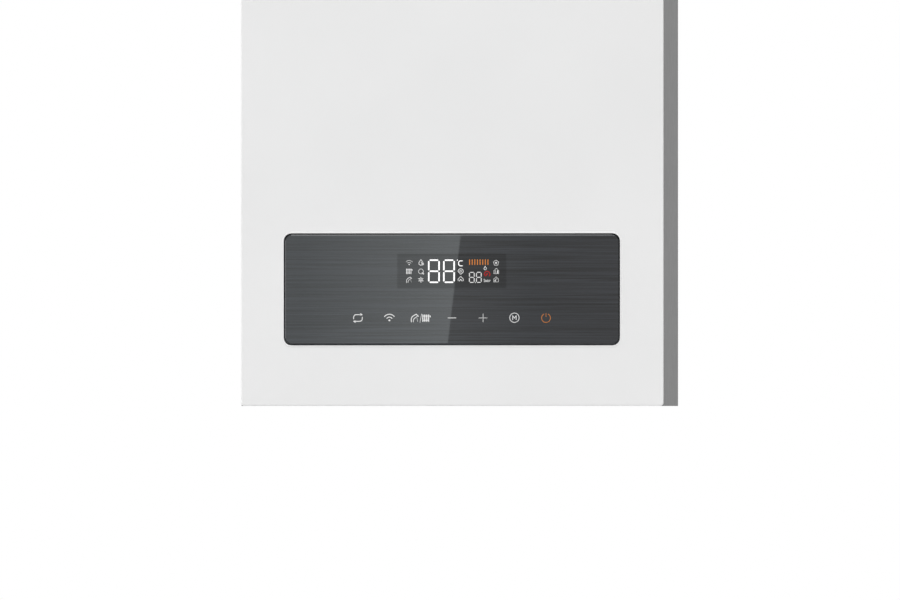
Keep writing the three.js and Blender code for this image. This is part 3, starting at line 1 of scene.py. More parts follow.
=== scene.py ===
"""Looks of a wall-hung combi boiler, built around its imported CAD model.

Most CAD nodes keep their shape and get their finish here. The touch glass, the hose, the copper
pipes and the large round housings are built again in finer meshes that stand for their nodes.
The lit symbols, the fasteners, the wiring and the small trim are built here as well. Sizes are in
metres, in the model's frame: +Z up, the front faces -Y.
"""
import math

import bmesh
import bpy
from bpy.props import FloatProperty, FloatVectorProperty, PointerProperty
from mathutils import Matrix, Vector


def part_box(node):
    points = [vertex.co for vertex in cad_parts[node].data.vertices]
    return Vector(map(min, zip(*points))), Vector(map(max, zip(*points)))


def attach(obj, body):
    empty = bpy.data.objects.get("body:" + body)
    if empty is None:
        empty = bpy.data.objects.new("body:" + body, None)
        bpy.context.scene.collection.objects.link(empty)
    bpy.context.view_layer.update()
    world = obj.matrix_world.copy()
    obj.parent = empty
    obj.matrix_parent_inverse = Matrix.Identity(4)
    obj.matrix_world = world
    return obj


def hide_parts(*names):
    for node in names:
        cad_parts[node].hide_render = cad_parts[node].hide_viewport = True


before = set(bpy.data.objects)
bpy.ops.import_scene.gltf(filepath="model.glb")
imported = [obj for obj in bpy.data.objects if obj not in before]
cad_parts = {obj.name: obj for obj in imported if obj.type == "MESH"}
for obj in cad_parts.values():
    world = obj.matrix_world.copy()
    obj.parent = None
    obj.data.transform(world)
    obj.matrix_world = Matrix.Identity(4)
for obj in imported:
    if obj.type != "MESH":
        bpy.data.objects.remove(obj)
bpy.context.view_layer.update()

bl_info = {
    "name": "Combi Boiler",
    "version": (1, 0, 0),
    "blender": (4, 5, 0),
    "location": "View3D > Sidebar > Boiler",
    "description": "Finishes, printed glass, wiring and fasteners of a wall-hung combi boiler",
    "category": "Object",
}

MM = 0.001
SMOOTH_ANGLE = math.radians(48)   # edges of CAD nodes that are flatter than this are smoothed
CASE_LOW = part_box("left_side_panel")[0].z
GLASS_LOW, GLASS_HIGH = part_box("touch_glass")
PANEL_X = (GLASS_LOW.x + GLASS_HIGH.x) / 2
PANEL_Z = GLASS_LOW.z
PANEL_WIDTH = GLASS_HIGH.x - GLASS_LOW.x
PANEL_HEIGHT = GLASS_HIGH.z - GLASS_LOW.z
EDGE_SLOPE = 0.5   # depth of the glass's ground edge per width
PRINT_DEPTH = 0.06 * MM   # the lit symbols stand this far in front of the glass's visible face
GLASS_FACE = GLASS_LOW.y + PRINT_DEPTH


# ---- Settings ----
def colour(name, description, value):
    return FloatVectorProperty(
        name=name, description=description, default=value, subtype="COLOR", size=3, min=0, max=1
    )


def number(name, description, value, low=0, **kind):
    return FloatProperty(name=name, description=description, default=value, min=low, **kind)


def length(name, description, value):
    return number(name, description, value, subtype="DISTANCE", unit="LENGTH")


def power(name, description, value):
    return number(name, description, value, subtype="POWER", unit="POWER")


class CasingSettings(bpy.types.PropertyGroup):
    """The painted and plated sheet metal."""

    cover_colour: colour("Cover", "Powder coat of the front cover", (0.83, 0.83, 0.83))
    side_colour: colour("Sides", "Powder coat of the side and top panels", (0.16, 0.16, 0.16))
    zinc_colour: colour("Zinc", "Plated sheet of the rear panel and brackets", (0.55, 0.57, 0.58))
    peel_size: length("Orange peel", "Width of the powder coat's ripples", 1.6 * MM)


class PanelSettings(bpy.types.PropertyGroup):
    """The touch panel behind the front cover's cut-out."""

    print_colour: colour("Print", "Dark print behind the glass", (0.0122, 0.0138, 0.0168))
    window_colour: colour("Window", "Display window in the print", (0.0092, 0.01, 0.0115))
    lit_colour: colour("Lit", "Lit digits and bright symbols", (1.0, 1.0, 1.0))
    dim_colour: colour("Dim", "Touch symbols and small pictograms", (0.8, 0.8, 0.8))
    bar_colour: colour("Bars", "Power bars and the power symbol", (0.62, 0.2, 0.035))
    gauge_colour: colour("Gauge", "Pressure gauge symbol", (0.34, 0.012, 0.012))
    corner: length("Corner", "Corner radius of the glass", 7.0 * MM)
    clearance: length("Clearance", "Gap between the glass and its place on each side", 0.35 * MM)
    edge_width: length("Edge", "Width of the glass's ground edge", 0.8 * MM)
    window_width: length("Window width", "Width of the display window", 108.5 * MM)
    window_height: length("Window height", "Height of the display window", 34.3 * MM)
    window_low: length("Window lift", "From the glass's edge to the window", 55.7 * MM)
    key_pitch: length("Key pitch", "Distance between touch symbols", 31.0 * MM)
    key_lift: length("Key lift", "From the glass's edge to the touch symbols", 26.2 * MM)


class InsideSettings(bpy.types.PropertyGroup):
    """The pieces behind the cover."""

    copper_colour: colour("Copper", "Drawn copper pipes", (0.72, 0.33, 0.2))
    brass_colour: colour("Brass", "Machined brass fittings", (0.62, 0.45, 0.17))
    steel_colour: colour("Stainless", "Heat exchanger and plates", (0.6, 0.6, 0.61))
    casting_colour: colour("Castings", "Die-cast aluminium", (0.5, 0.51, 0.52))
    vessel_colour: colour("Vessel", "Paint of the expansion vessel", (0.4, 0.018, 0.014))
    cable_width: length("Cable", "Diameter of the inner cables", 4.6 * MM)
    bolt_width: length("Bolts", "Width across the flats of the bolts", 8.0 * MM)


class StageSettings(bpy.types.PropertyGroup):
    """Camera, lamps, floor and the cards that the glass mirrors."""

    camera_turn: number("Turn", "Camera angle to the front's right", math.radians(3.27),
                        -math.pi, subtype="ANGLE", unit="ROTATION")
    camera_distance: length("Distance", "From the cover's face to the camera", 22.35)
    focal_length: number("Lens", "Focal length", 900.0, 50, max=1000)
    floor_drop: length("Floor", "From the casing's lower edge to the floor", 0.42)
    front_power: power("Front box", "Power of the lamp in front", 73.0)
    right_power: power("Right box", "Power of the lamp on the right", 15.0)
    left_power: power("Left box", "Power of the lamp on the left", 36.0)
    top_power: power("Top box", "Power of the lamp overhead", 42.0)
    floor_glow: number("Floor glow", "Lifts the floor to the background", 0.12, max=1)
    glare_distance: length("Glare distance", "From the glass to the mirrored card", 1.2)
    edge_card_distance: length("Edge cards", "From the glass's edge to its card", 2.4)
    sky_level: number("Sky", "Even light from all around", 0.57, max=1)
    glare_level: number("Glare", "Brightness mirrored in the glass", 2.94, max=4)


SETTINGS = {
    "boiler_casing": CasingSettings,
    "boiler_panel": PanelSettings,
    "boiler_inside": InsideSettings,
    "boiler_stage": StageSettings,
}


def settings(name):
    return getattr(bpy.context.scene, name)


# ---- Places ----
def at(x, y, z):
    """A place in millimetres, with heights from the casing's lower edge."""
    return Vector((x * MM, y * MM, CASE_LOW + z * MM))


def both_sides(*points):
    """The same places on the left and on the right."""
    return [at(side * x, y, z) for x, y, z in points for side in (-1, 1)]


def even(count, start=0):
    """Angles in degrees, evenly spaced round a circle."""
    return [start + 360 * i / count for i in range(count)]


def circle(radius, angles, u=0, v=0):
    """Points round a centre, at angles in degrees."""
    turns = [math.radians(angle) for angle in angles]
    return [(u + radius * math.cos(turn), v + radius * math.sin(turn)) for turn in turns]


def around(x, y, z, radius, angles):
    """Places on a circle that faces the front."""
    return [at(u, y, v) for u, v in circle(radius, angles, x, z)]


# ---- Finishes ----
class Nodes:
    """A node tree, with short calls for its nodes and links."""

    def __init__(self, tree):
        self.tree = tree

    def node(self, kind, **values):
        """A new node, whose properties and input sockets are set by name."""
        made = self.tree.nodes.new(kind)
        for name, value in values.items():
            if hasattr(made, name):
                setattr(made, name, value)
            else:
                made.inputs[name.replace("_", " ").title()].default_value = value
        return made

    def link(self, source, target):
        self.tree.links.new(source, target)


class Finish(Nodes):
    """One material's node tree, with short calls for its layers."""

    def __init__(self, name, **values):
        self.material = bpy.data.materials.new(name)
        self.material.use_nodes = True
        super().__init__(self.material.node_tree)
        self.shader = self.tree.nodes["Principled BSDF"]
        self.place = self.node("ShaderNodeTexCoord").outputs["Object"]
        for name, value in values.items():
            self.shader.inputs[name.replace("_", " ").replace("Ior", "IOR")].default_value = value

    def noise(self, size, detail=3.0, roughness=0.5, stretch=(1, 1, 1)):
        """Noise whose features are about size metres wide, scaled by axis."""
        made = self.node("ShaderNodeTexNoise", detail=detail, roughness=roughness, scale=1 / size)
        mapping = self.node("ShaderNodeMapping", scale=stretch)
        self.link(self.place, mapping.inputs["Vector"])
        self.link(mapping.outputs["Vector"], made.inputs["Vector"])
        return made.outputs["Fac"]

    def cells(self, size):
        made = self.node("ShaderNodeTexVoronoi", scale=1 / size)
        self.link(self.place, made.inputs["Vector"])
        return made

    def span(self, value, low, high, source=(0.3, 0.7)):
        """A value spread between two limits."""
        made = self.node("ShaderNodeMapRange", from_min=source[0], from_max=source[1],
                         to_min=low, to_max=high)
        self.link(value, made.inputs["Value"])
        return made.outputs["Result"]

    def mixed(self, value, first, second, source=(0.35, 0.65)):
        """Two colours, or colour sockets, blended by a value."""
        made = self.node("ShaderNodeMix", data_type="RGBA")
        self.link(self.span(value, 0, 1, source), made.inputs["Factor"])
        for socket, paint in ((made.inputs[6], first), (made.inputs[7], second)):
            if isinstance(paint, bpy.types.NodeSocket):
                self.link(paint, socket)
            else:
                socket.default_value = (*paint, 1)
        return made.outputs[2]

    def colour(self, source):
        self.link(source, self.shader.inputs["Base Color"])

    def mottled(self, value, paint, low, high, source=(0.35, 0.65)):
        """The paint's colour, between a darker and a lighter shade of it."""
        self.colour(self.mixed(value, shade(paint, low), shade(paint, high), source))

    def rough(self, value, low, high):
        self.link(self.span(value, low, high), self.shader.inputs["Roughness"])

    def bump(self, height, depth):
        """Relief of the given depth in metres."""
        made = self.node("ShaderNodeBump", strength=1.0, distance=depth)
        self.link(height, made.inputs["Height"])
        self.link(made.outputs["Normal"], self.shader.inputs["Normal"])


def shade(paint, factor):
    return tuple(min(1.0, c * factor) for c in paint[:3])


def powder_coat(name, paint, roughness=0.42, gloss=0.4):
    """Sprayed and baked paint with a fine orange peel."""
    made = Finish(name, Specular_Ior_Level=gloss)
    size = settings("boiler_casing").peel_size
    made.mottled(made.noise(0.18, 2), paint, 0.985, 1.012)
    made.rough(made.noise(size * 8, 2), roughness - 0.03, roughness + 0.04)
    made.bump(made.noise(size, 2), 0.006 * MM)
    return made.material


def zinc_sheet(name, paint):
    """Hot-dip zinc: large soft spangles and fine rolling lines."""
    made = Finish(name, Metallic=0.85)
    spangle, grey = made.cells(9 * MM), made.node("ShaderNodeSeparateColor")
    made.link(spangle.outputs["Color"], grey.inputs["Color"])
    made.mottled(grey.outputs[0], paint, 0.86, 1.1, (0, 1))
    made.rough(made.noise(5 * MM, 4), 0.38, 0.52)
    made.bump(made.noise(0.4 * MM, 2, stretch=(1, 1, 0.1)), 0.01 * MM)
    return made.material


def rolled_steel(name, paint, grain=(1, 1, 0.04)):
    """Stainless sheet with drawn grain."""
    made = Finish(name, Metallic=1.0)
    lines = made.noise(0.5 * MM, 3, 0.6, grain)
    made.mottled(lines, paint, 0.88, 1.06)
    made.rough(lines, 0.24, 0.4)
    made.bump(lines, 0.006 * MM)
    return made.material


def casting(name, paint):
    """Sand-textured die casting."""
    made = Finish(name, Metallic=0.9)
    sand = made.noise(0.9 * MM, 4, 0.6)
    made.mottled(made.noise(14 * MM, 3), paint, 0.86, 1.06)
    made.rough(sand, 0.46, 0.62)
    made.bump(sand, 0.05 * MM)
    return made.material


def machined(name, paint, roughness=0.34):
    """Turned or drawn metal with slight tarnish."""
    made = Finish(name, Metallic=1.0)
    tarnish = made.noise(16 * MM)
    made.mottled(tarnish, paint, 0.88, 1.04, (0.25, 0.75))
    made.rough(tarnish, roughness + 0.03, roughness - 0.02)
    made.bump(made.noise(0.5 * MM, 2), 0.006 * MM)
    return made.material


def plastic(name, paint, roughness=0.55, texture=0.35 * MM, depth=0.02 * MM):
    """Moulded plastic with an eroded texture."""
    made = Finish(name)
    made.mottled(made.noise(30 * MM, 2), paint, 0.93, 1.07)
    made.rough(made.noise(4 * MM), roughness - 0.06, roughness + 0.06)
    made.bump(made.noise(texture, 2), depth)
    return made.material


def rubber(name, paint):
    """Moulded rubber with a dull, slightly worn skin."""
    made = Finish(name)
    made.mottled(made.noise(8 * MM), paint, 0.8, 1.3)
    made.rough(made.noise(2 * MM), 0.7, 0.86)
    made.bump(made.noise(0.5 * MM), 0.03 * MM)
    return made.material


def seal_strip(name, paint):
    """Closed-cell sealing strip: its pores are sunk by the bump and painted darker in their pits as
    painted shade.
    """
    made = Finish(name)
    pores_and_pit_shade = made.cells(0.9 * MM).outputs["Distance"]
    # painted shade: the colour darkens towards each pore's pit, where the same field sinks the bump
    made.mottled(pores_and_pit_shade, paint, 0.6, 1.25, (0, 0.6))
    made.rough(pores_and_pit_shade, 0.8, 0.95)
    made.bump(pores_and_pit_shade, 0.15 * MM)
    return made.material


def fibre_board(name, paint):
    """Pressed ceramic fibre with loose strands."""
    made = Finish(name)
    strands = made.noise(1.2 * MM, 6, 0.7, (1, 0.25, 1))
    made.mottled(strands, paint, 0.86, 1.04)
    made.rough(strands, 0.75, 0.95)
    made.bump(strands, 0.12 * MM)
    return made.material


def solder_mask(name, paint):
    """Green board with the pattern of its tracks under the mask."""
    made = Finish(name)
    tracks = made.node("ShaderNodeTexBrick", offset=0.37, squash=0.6, scale=120, mortar_size=0.09)
    for socket, factor in (("Color1", 0.9), ("Color2", 1.1), ("Mortar", 2.2)):
        tracks.inputs[socket].default_value = (*shade(paint, factor), 1)
    turn = made.node("ShaderNodeMapping", rotation=(math.radians(90), 0, 0))
    made.link(made.place, turn.inputs["Vector"])
    made.link(turn.outputs["Vector"], tracks.inputs["Vector"])
    made.colour(tracks.outputs["Color"])
    made.rough(made.noise(2 * MM, 2), 0.28, 0.4)
    made.bump(tracks.outputs["Fac"], 0.02 * MM)
    return made.material


def printed_glass(name, paint, ior=1.5):
    """Polished glass over a dark print that imitates brushed metal."""
    made = Finish(name, IOR=ior)
    streaks = made.noise(1.7 * MM, 4, 0.6, (0.012, 1, 1))
    haze = made.noise(6 * MM, 2, 0.5, (0.05, 1, 1))
    fine = made.mixed(streaks, shade(paint, 0.1), shade(paint, 2.05), (0.38, 0.62))
    made.colour(made.mixed(haze, fine, shade(paint, 1.1), (0.3, 0.9)))
    made.rough(streaks, 0.008, 0.016)
    return made.material


def lit_symbol(name, paint, glow):
    """A symbol lit from behind through the print."""
    made = Finish(name, Emission_Color=(*paint, 1), Emission_Strength=glow,
                  Specular_Ior_Level=0.2)
    made.mottled(made.noise(2 * MM, 2), paint, 0.94, 1.0)
    made.rough(made.noise(1 * MM, 2), 0.35, 0.45)
    return made.material


def clear_plastic(name, paint):
    """Moulded plastic that shows what turns inside."""
    made = Finish(name, Transmission_Weight=0.55, IOR=1.49)
    made.mottled(made.noise(10 * MM, 2), paint, 0.95, 1.05)
    made.rough(made.noise(3 * MM, 2), 0.06, 0.14)
    return made.material


def finishes():
    """Every finish by name, as its maker and what that is given after the name."""
    casing, panel, inside = (settings("boiler_" + part) for part in ("casing", "panel", "inside"))
    return {
        "white_enamel": (powder_coat, casing.cover_colour),
        "grey_enamel": (powder_coat, casing.side_colour, 0.6, 0.2),
        "galvanised": (zinc_sheet, casing.zinc_colour),
        "dark_glass": (printed_glass, panel.print_colour),
        "display_window": (printed_glass, panel.window_colour, 1.43),
        "lit": (lit_symbol, panel.lit_colour, 0.35),
        "dim": (lit_symbol, panel.dim_colour, 0.05),
        "bars": (lit_symbol, panel.bar_colour, 0.1),
        "gauge": (lit_symbol, panel.gauge_colour, 0.1),
        "black_plastic": (plastic, (0.022, 0.022, 0.024)),
        "grey_plastic": (plastic, (0.16, 0.17, 0.18)),
        "white_plastic": (plastic, (0.7, 0.7, 0.68), 0.4, 0.5 * MM, 0.01 * MM),
        "red_plastic": (plastic, (0.43, 0.02, 0.015), 0.35),
        "red_cable": (plastic, (0.3, 0.016, 0.012), 0.4, 1.2 * MM, 0.005 * MM),
        "blue_plastic": (plastic, (0.024, 0.115, 0.34), 0.35),
        "clear_plastic": (clear_plastic, (0.7, 0.75, 0.78)),
        "circuit": (solder_mask, (0.013, 0.1, 0.042)),
        "stainless": (rolled_steel, inside.steel_colour),
        "steel": (rolled_steel, (0.42, 0.43, 0.44), (0.2, 1, 1)),
        "cast_aluminium": (casting, inside.casting_colour),
        "brass": (machined, inside.brass_colour),
        "copper": (machined, inside.copper_colour),
        "red_enamel": (powder_coat, inside.vessel_colour, 0.3),
        "rubber": (rubber, (0.023, 0.023, 0.023)),
        "seal": (seal_strip, (0.04, 0.042, 0.045)),
        "ceramic": (fibre_board, (0.78, 0.75, 0.68)),
    }


def finish(name):
    """The finished material of that name, made once."""
    known = bpy.data.materials.get("boiler_" + name)
    if known:
        return known
    make, *values = finishes()[name]
    return make("boiler_" + name, *values)


# ---- Meshes ----
def mesh_from(bm, name, sharp=40):
    """A finished mesh whose edges stay sharp above the given angle in degrees."""
    bmesh.ops.recalc_face_normals(bm, faces=bm.faces)
    mesh = bpy.data.meshes.new(name)
    bm.to_mesh(mesh)
    bm.free()
    mesh.shade_smooth()
    mesh.set_sharp_from_angle(angle=math.radians(sharp))
    return mesh


def shown(name, mesh, material):
    """An object of the scene with that mesh."""
    made = bpy.data.objects.new(name, mesh)
    bpy.context.scene.collection.objects.link(made)
    mesh.materials.append(material)
    return made


def piece(name, bm, finish_name, body="casing", slot=None, replaces=(), sharp=40):
    """Adds a mesh as a piece of the object."""
    made = shown(name, mesh_from(bm, name, sharp), finish(finish_name))
    made.modifiers.new("even_normals", "WEIGHTED_NORMAL").keep_sharp = True
    if replaces:
        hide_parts(*replaces)
    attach(made, body)
    return made


def smoothing():
    """A modifier group that joins the CAD's split facets and smooths its round walls."""
    tree = bpy.data.node_groups.get("boiler_smoothing")
    if tree:
        return tree
    tree = bpy.data.node_groups.new("boiler_smoothing", "GeometryNodeTree")
    for way in ("INPUT", "OUTPUT"):
        tree.interface.new_socket("Geometry", in_out=way, socket_type="NodeSocketGeometry")
    made = Nodes(tree)
    line = [
        made.node("NodeGroupInput"),
        made.node("GeometryNodeMergeByDistance", distance=0.01 * MM),
        made.node("GeometryNodeRemoveAttribute"),
        made.node("GeometryNodeSetShadeSmooth"),
        made.node("GeometryNodeSetShadeSmooth", domain="EDGE", shade_smooth=False),
        made.node("NodeGroupOutput"),
    ]
    line[2].inputs["Name"].default_value = "custom_normal"
    for first, second in zip(line, line[1:]):
        made.link(first.outputs["Geometry"], second.inputs["Geometry"])
    edge = made.node("GeometryNodeInputMeshEdgeAngle")
    above = made.node("FunctionNodeCompare", operation="GREATER_THAN")
    above.inputs[1].default_value = SMOOTH_ANGLE
    made.link(edge.outputs["Unsigned Angle"], above.inputs[0])
    made.link(above.outputs["Result"], line[4].inputs["Selection"])
    return tree


def dress(finish_name, *nodes, edge=0.0):
    """Gives CAD nodes their finish, smooth round walls and softened edges."""
    for name in nodes:
        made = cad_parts[name]
        for slot in made.material_slots:
            slot.material = finish(finish_name)
        made.modifiers.new("smoothing", "NODES").node_group = smoothing()
        if edge:
            soft = made.modifiers.new("soft_edges", "BEVEL")
            soft.width, soft.segments, soft.limit_method = edge, 2, "ANGLE"
            soft.angle_limit, soft.use_clamp_overlap = SMOOTH_ANGLE, True
            soft.harden_normals = True
        made.modifiers.new("even_normals", "WEIGHTED_NORMAL").keep_sharp = True


def skin(bm, rings, closed=False):
    """Faces between neighbouring rings of points. A ring of one point makes a tip."""
    pairs = list(zip(rings, rings[1:])) + ([(rings[-1], rings[0])] if closed else [])
    for low, high in pairs:
        count = max(len(low), len(high))
        for i in range(count):
            j = (i + 1) % count
            corners = dict.fromkeys((low[i % len(low)], low[j % len(low)],
                                     high[j % len(high)], high[i % len(high)]))
            if len(corners) > 2:
                bm.faces.new(list(corners))


def turned_to(axis, place):
    """Moves the origin to a place and turns +Z to a world axis, such as 'z', '-y' or 'x'."""
    target = {"x": (1, 0, 0), "y": (0, 1, 0), "z": (0, 0, 1)}[axis[-1]]
    sign = -1 if axis.startswith("-") else 1
    turn = Vector((0, 0, 1)).rotation_difference(Vector(target) * sign)
    return Matrix.Translation(place) @ turn.to_matrix().to_4x4()


def add_turned(bm, profile, axis, place, sides, closed=False):
    """Revolves a profile of (radius, distance along the axis) about an axis through a place."""
    turn = turned_to(axis, place)
    rings = []
    for radius, height in profile:
        spots = circle(radius, even(sides)) if radius else [(0, 0)]
        rings.append([bm.verts.new(turn @ Vector((u, v, height))) for u, v in spots])
    skin(bm, rings, closed)


def add_prism(bm, outline, axis, place, low, high):
    """Extrudes a closed outline of (u, v) along an axis through a place."""
    turn = turned_to(axis, place)
    ends = [[bm.verts.new(turn @ Vector((u, v, h))) for u, v in outline] for h in (low, high)]
    bm.faces.new(ends[0])
    bm.faces.new(ends[1])
    skin(bm, ends)


def add_parts(bm, parts, sides=32):
    """Turned parts of (profile in mm, axis, place). One that ends as it starts is a closed ring."""
    for profile, axis, place in parts:
        closed = profile[0] == profile[-1]
        sizes = [(r * MM, h * MM) for r, h in (profile[:-1] if closed else profile)]
        add_turned(bm, sizes, axis, at(*place), sides, closed)


def hexagon(width):
    return circle(width / math.sqrt(3), even(6))


def rectangle(half_width, half_height):
    return [(-half_width, -half_height), (half_width, -half_height), (half_width, half_height),
            (-half_width, half_height)]


def rounded(width, height, radius, steps=12):
    """A rounded rectangle's outline about its middle."""
    outline = []
    for quarter, (side, level) in enumerate(((1, 1), (-1, 1), (-1, -1), (1, -1))):
        angles = [90 * (quarter + i / steps) for i in range(steps + 1)]
        outline += circle(radius, angles, side * (width / 2 - radius),
                          level * (height / 2 - radius))
    return outline


def chamfered(width, height, cut=1 * MM):
    """The outline of a rectangle with cut corners, about its middle."""
    u, v = width / 2, height / 2
    return [(u - cut, v), (u, v - cut), (u, cut - v), (u - cut, -v), (cut - u, -v),
            (-u, cut - v), (-u, v - cut), (cut - u, v)]


def add_bolt(bm, place, axis="-y", width=8.0 * MM, height=3.2 * MM, washer=True):
    """A hexagon head with its washer, seated on the place."""
    if washer:
        rim = width * 0.86
        add_turned(bm, [(0, 0), (rim, 0), (rim, 0.8 * MM), (0, 0.8 * MM)], axis, place, 24)
    add_prism(bm, hexagon(width), axis, place, 0.7 * MM if washer else 0, height)
    crown, low, high = width * 0.45, height - 0.1 * MM, height + 0.35 * MM
    add_turned(bm, [(0, low), (crown, low), (crown * 0.92, high), (0, high)], axis, place, 24)


def add_screw(bm, place, axis="-y", radius=3.6 * MM, height=2.2 * MM):
    """A round screw head with a cross slot, seated on the place."""
    dome = [(0, 0), (1, 0), (1, 0.35), (0.86, 0.78), (0.55, 1), (0.34, 1), (0.3, 0.45), (0, 0.4)]
    add_turned(bm, [(r * radius, h * height) for r, h in dome], axis, place, 24)
    arm, wide = radius * 0.62, radius * 0.12
    for bar in (rectangle(arm, wide), rectangle(wide, arm)):
        add_prism(bm, bar, axis, place, height * 0.95, height * 1.02)


def add_nut(bm, place, axis, width, height):
    """A hexagon nut along an axis, its far corners turned back."""
    add_prism(bm, hexagon(width), axis, place, 0, height)
    rim, low, high = width * 0.49, height - 0.2 * MM, height + 0.5 * MM
    add_turned(bm, [(0, low), (rim, low), (rim * 0.94, high), (0, high)], axis, place, 28)


def add_plug(bm, place, axis, width, depth, height):
    """A cable plug: a stepped housing with a latch, its sizes in millimetres."""
    for wide, deep, low, high in ((1, 1, 0, 0.6), (0.84, 0.8, 0.6, 1), (0.3, 1.2, 0.1, 0.75)):
        add_prism(bm, chamfered(width * wide * MM, depth * deep * MM), axis, place,
                  height * low * MM, height * high * MM)


def add_tie(bm, place):
    """A cable tie round an upright conduit, with its head."""
    add_parts(bm, [([(5, -1.2), (5.9, -1.2), (5.9, 1.2), (5, 1.2), (5, -1.2)], "z", place)], 20)
    head = [(-2.2 * MM, 0), (2.2 * MM, 0), (2.2 * MM, 8.4 * MM), (-2.2 * MM, 8.4 * MM)]
    add_prism(bm, head, "z", at(*place), -2 * MM, 2 * MM)


def fasteners(name, kind, places, body="casing", **sizes):
    """One piece that holds a group of like screws or bolts."""
    bm = bmesh.new()
    for place in places:
        kind(bm, place, **sizes)
    return piece(name, bm, "steel", body, sharp=30)


def turned_piece(name, parts, finish_name, sides=32, blocks=(), **options):
    """One piece made of turned parts and of rounded blocks that face the front."""
    bm = bmesh.new()
    add_parts(bm, parts, sides)
    for width, height, radius, place, low, high in blocks:
        add_prism(bm, rounded(width * MM, height * MM, radius * MM, 4), "-y", at(*place),
                  low * MM, high * MM)
    return piece(name, bm, finish_name, sharp=35, **options)


def sleeve(inner, outer, low, high):
    """The profile of a tube with broken outer edges."""
    return [(inner, low), (outer - 0.4, low), (outer, low + 0.4), (outer, high - 0.4),
            (outer - 0.4, high), (inner, high), (inner, low)]


def repeated(steps, low, high, pitch):
    """Part of a profile: steps of (radius, share of the pitch), repeated along the axis."""
    return [(radius, low + (i + share) * pitch)
            for i in range(int((high - low) / pitch)) for radius, share in steps]


def ribbed(radius, rise, low, high, pitch):
    """Round ribs along a cylinder, as part of a profile."""
    top = radius + rise
    return repeated([(radius, 0), (top, 0.15), (top, 0.45), (radius, 0.6)], low, high, pitch)


def smooth_line(points, bend, steps):
    """A polyline with rounded corners, as points."""
    corners = [Vector(p) for p in points]
    line = [corners[0]]
    for before, corner, after in zip(corners, corners[1:], corners[2:]):
        reach = min(bend, (corner - before).length * 0.49, (after - corner).length * 0.49)
        start = corner + (before - corner).normalized() * reach
        end = corner + (after - corner).normalized() * reach
        for i in range(steps + 1):
            t = i / steps
            line.append(start * (1 - t) ** 2 + corner * 2 * t * (1 - t) + end * t ** 2)
    line.append(corners[-1])
    return line


def add_tube(bm, points, radius, sides, bend, steps, bore=0.0):
    """Sweeps a round tube along a rounded polyline, with open mouths where it has a bore."""
    line = smooth_line([at(*point) for point in points], bend, steps)
    tangents = [(b - a).normalized() for a, b in zip(line, line[1:])]
    tangents.append(tangents[-1])
    across = tangents[0].orthogonal().normalized()
    walls = [(radius, [])] + ([(bore, [])] if bore else [])
    for i, point in enumerate(line):
        heading = tangents[i] if i == 0 else (tangents[i - 1] + tangents[i]).normalized()
        across = (across - heading * across.dot(heading)).normalized()
        side = heading.cross(across)
        for r, rings in walls:
            rings.append([bm.verts.new(point + r * (u * across + v * side))
                          for u, v in circle(1, even(sides))])
    for r, rings in walls:
        skin(bm, rings)
    for end in (0, -1):
        mouth = [rings[end] for r, rings in walls]
        if bore:
            skin(bm, mouth)
        else:
            bm.faces.new(mouth[0])


# ---- Printed symbols ----
class Symbols:
    """Flat strokes and shapes on the panel, in millimetres from a centre, as one thin piece."""

    def __init__(self):
        self.bm = bmesh.new()
        self.layer = 0
        self.centre, self.scale = (0.0, 0.0), 1.0

    def at(self, u, v, scale=1.0):
        """Moves the pen's centre: u from the glass's middle, v above its lower edge."""
        self.centre, self.scale = (u, v), scale
        return self

    def points(self, places):
        """Vertices of one shape. Neighbouring shapes lie a hair apart, so none coincide."""
        self.layer = (self.layer + 1) % 12
        depth = GLASS_FACE + self.layer * 0.0005 * MM
        return [self.bm.verts.new((PANEL_X + (self.centre[0] + u * self.scale) * MM, depth,
                                   PANEL_Z + (self.centre[1] + v * self.scale) * MM))
                for u, v in places]

    def shape(self, outline):
        self.bm.faces.new(self.points(outline))
        return self

    def stroke(self, path, width, closed=False):
        """A line of even width, with rounded ends unless it is closed."""
        path = [Vector(p) for p in path]
        count = len(path)
        left, right = [], []
        for i, here in enumerate(path):
            before = path[i - 1] if closed or i > 0 else None
            after = path[(i + 1) % count] if closed or i < count - 1 else None
            headings = [(b - a).normalized() for a, b in ((before, here), (here, after))
                        if a is not None and b is not None]
            mean = sum(headings, Vector((0, 0))).normalized()
            normal = Vector((-mean.y, mean.x))
            reach = width / 2 / max(0.5, abs(mean.dot(headings[0])))
            left.append(here + normal * reach)
            right.append(here - normal * reach)
        if closed:
            made = self.points(left + right)
            skin(self.bm, [made[:count], made[count:]])
            return self
        caps = []
        for end, inner in ((-1, -2), (0, 1)):
            out = (path[end] - path[inner]).normalized()
            side = Vector((-out.y, out.x))
            caps += [path[end] + (side * u + out * v) * width / 2
                     for u, v in circle(1, range(30, 180, 30))]
        made = self.points(left + right + caps)
        lefts, rights, caps = made[:count], made[count:2 * count], made[2 * count:]
        for i in range(count - 1):
            self.bm.faces.new((lefts[i], lefts[i + 1], rights[i + 1], rights[i]))
        half = len(caps) // 2
        self.bm.faces.new([lefts[-1], *caps[:half], rights[-1]])
        self.bm.faces.new([rights[0], *caps[half:], lefts[0]])
        return self

    def arc(self, u, v, radius, start, stop, width, steps=14):
        angles = [start + (stop - start) * i / steps for i in range(steps + 1)]
        return self.stroke(circle(radius, angles, u, v), width)

    def ring(self, u, v, radius, width, steps=32):
        return self.stroke(circle(radius, even(steps), u, v), width, closed=True)

    def dot(self, u, v, radius, steps=16):
        return self.shape(circle(radius, even(steps), u, v))

    def done(self, name, finish_name, slot):
        """Thickens the drawing towards the viewer and adds it as a piece."""
        bmesh.ops.recalc_face_normals(self.bm, faces=self.bm.faces)
        raised = bmesh.ops.extrude_face_region(self.bm, geom=list(self.bm.faces))
        moved = [v for v in raised["geom"] if isinstance(v, bmesh.types.BMVert)]
        bmesh.ops.translate(self.bm, verts=moved, vec=(0, -PRINT_DEPTH, 0))
        return piece(name, self.bm, finish_name, "controls", slot, sharp=30)


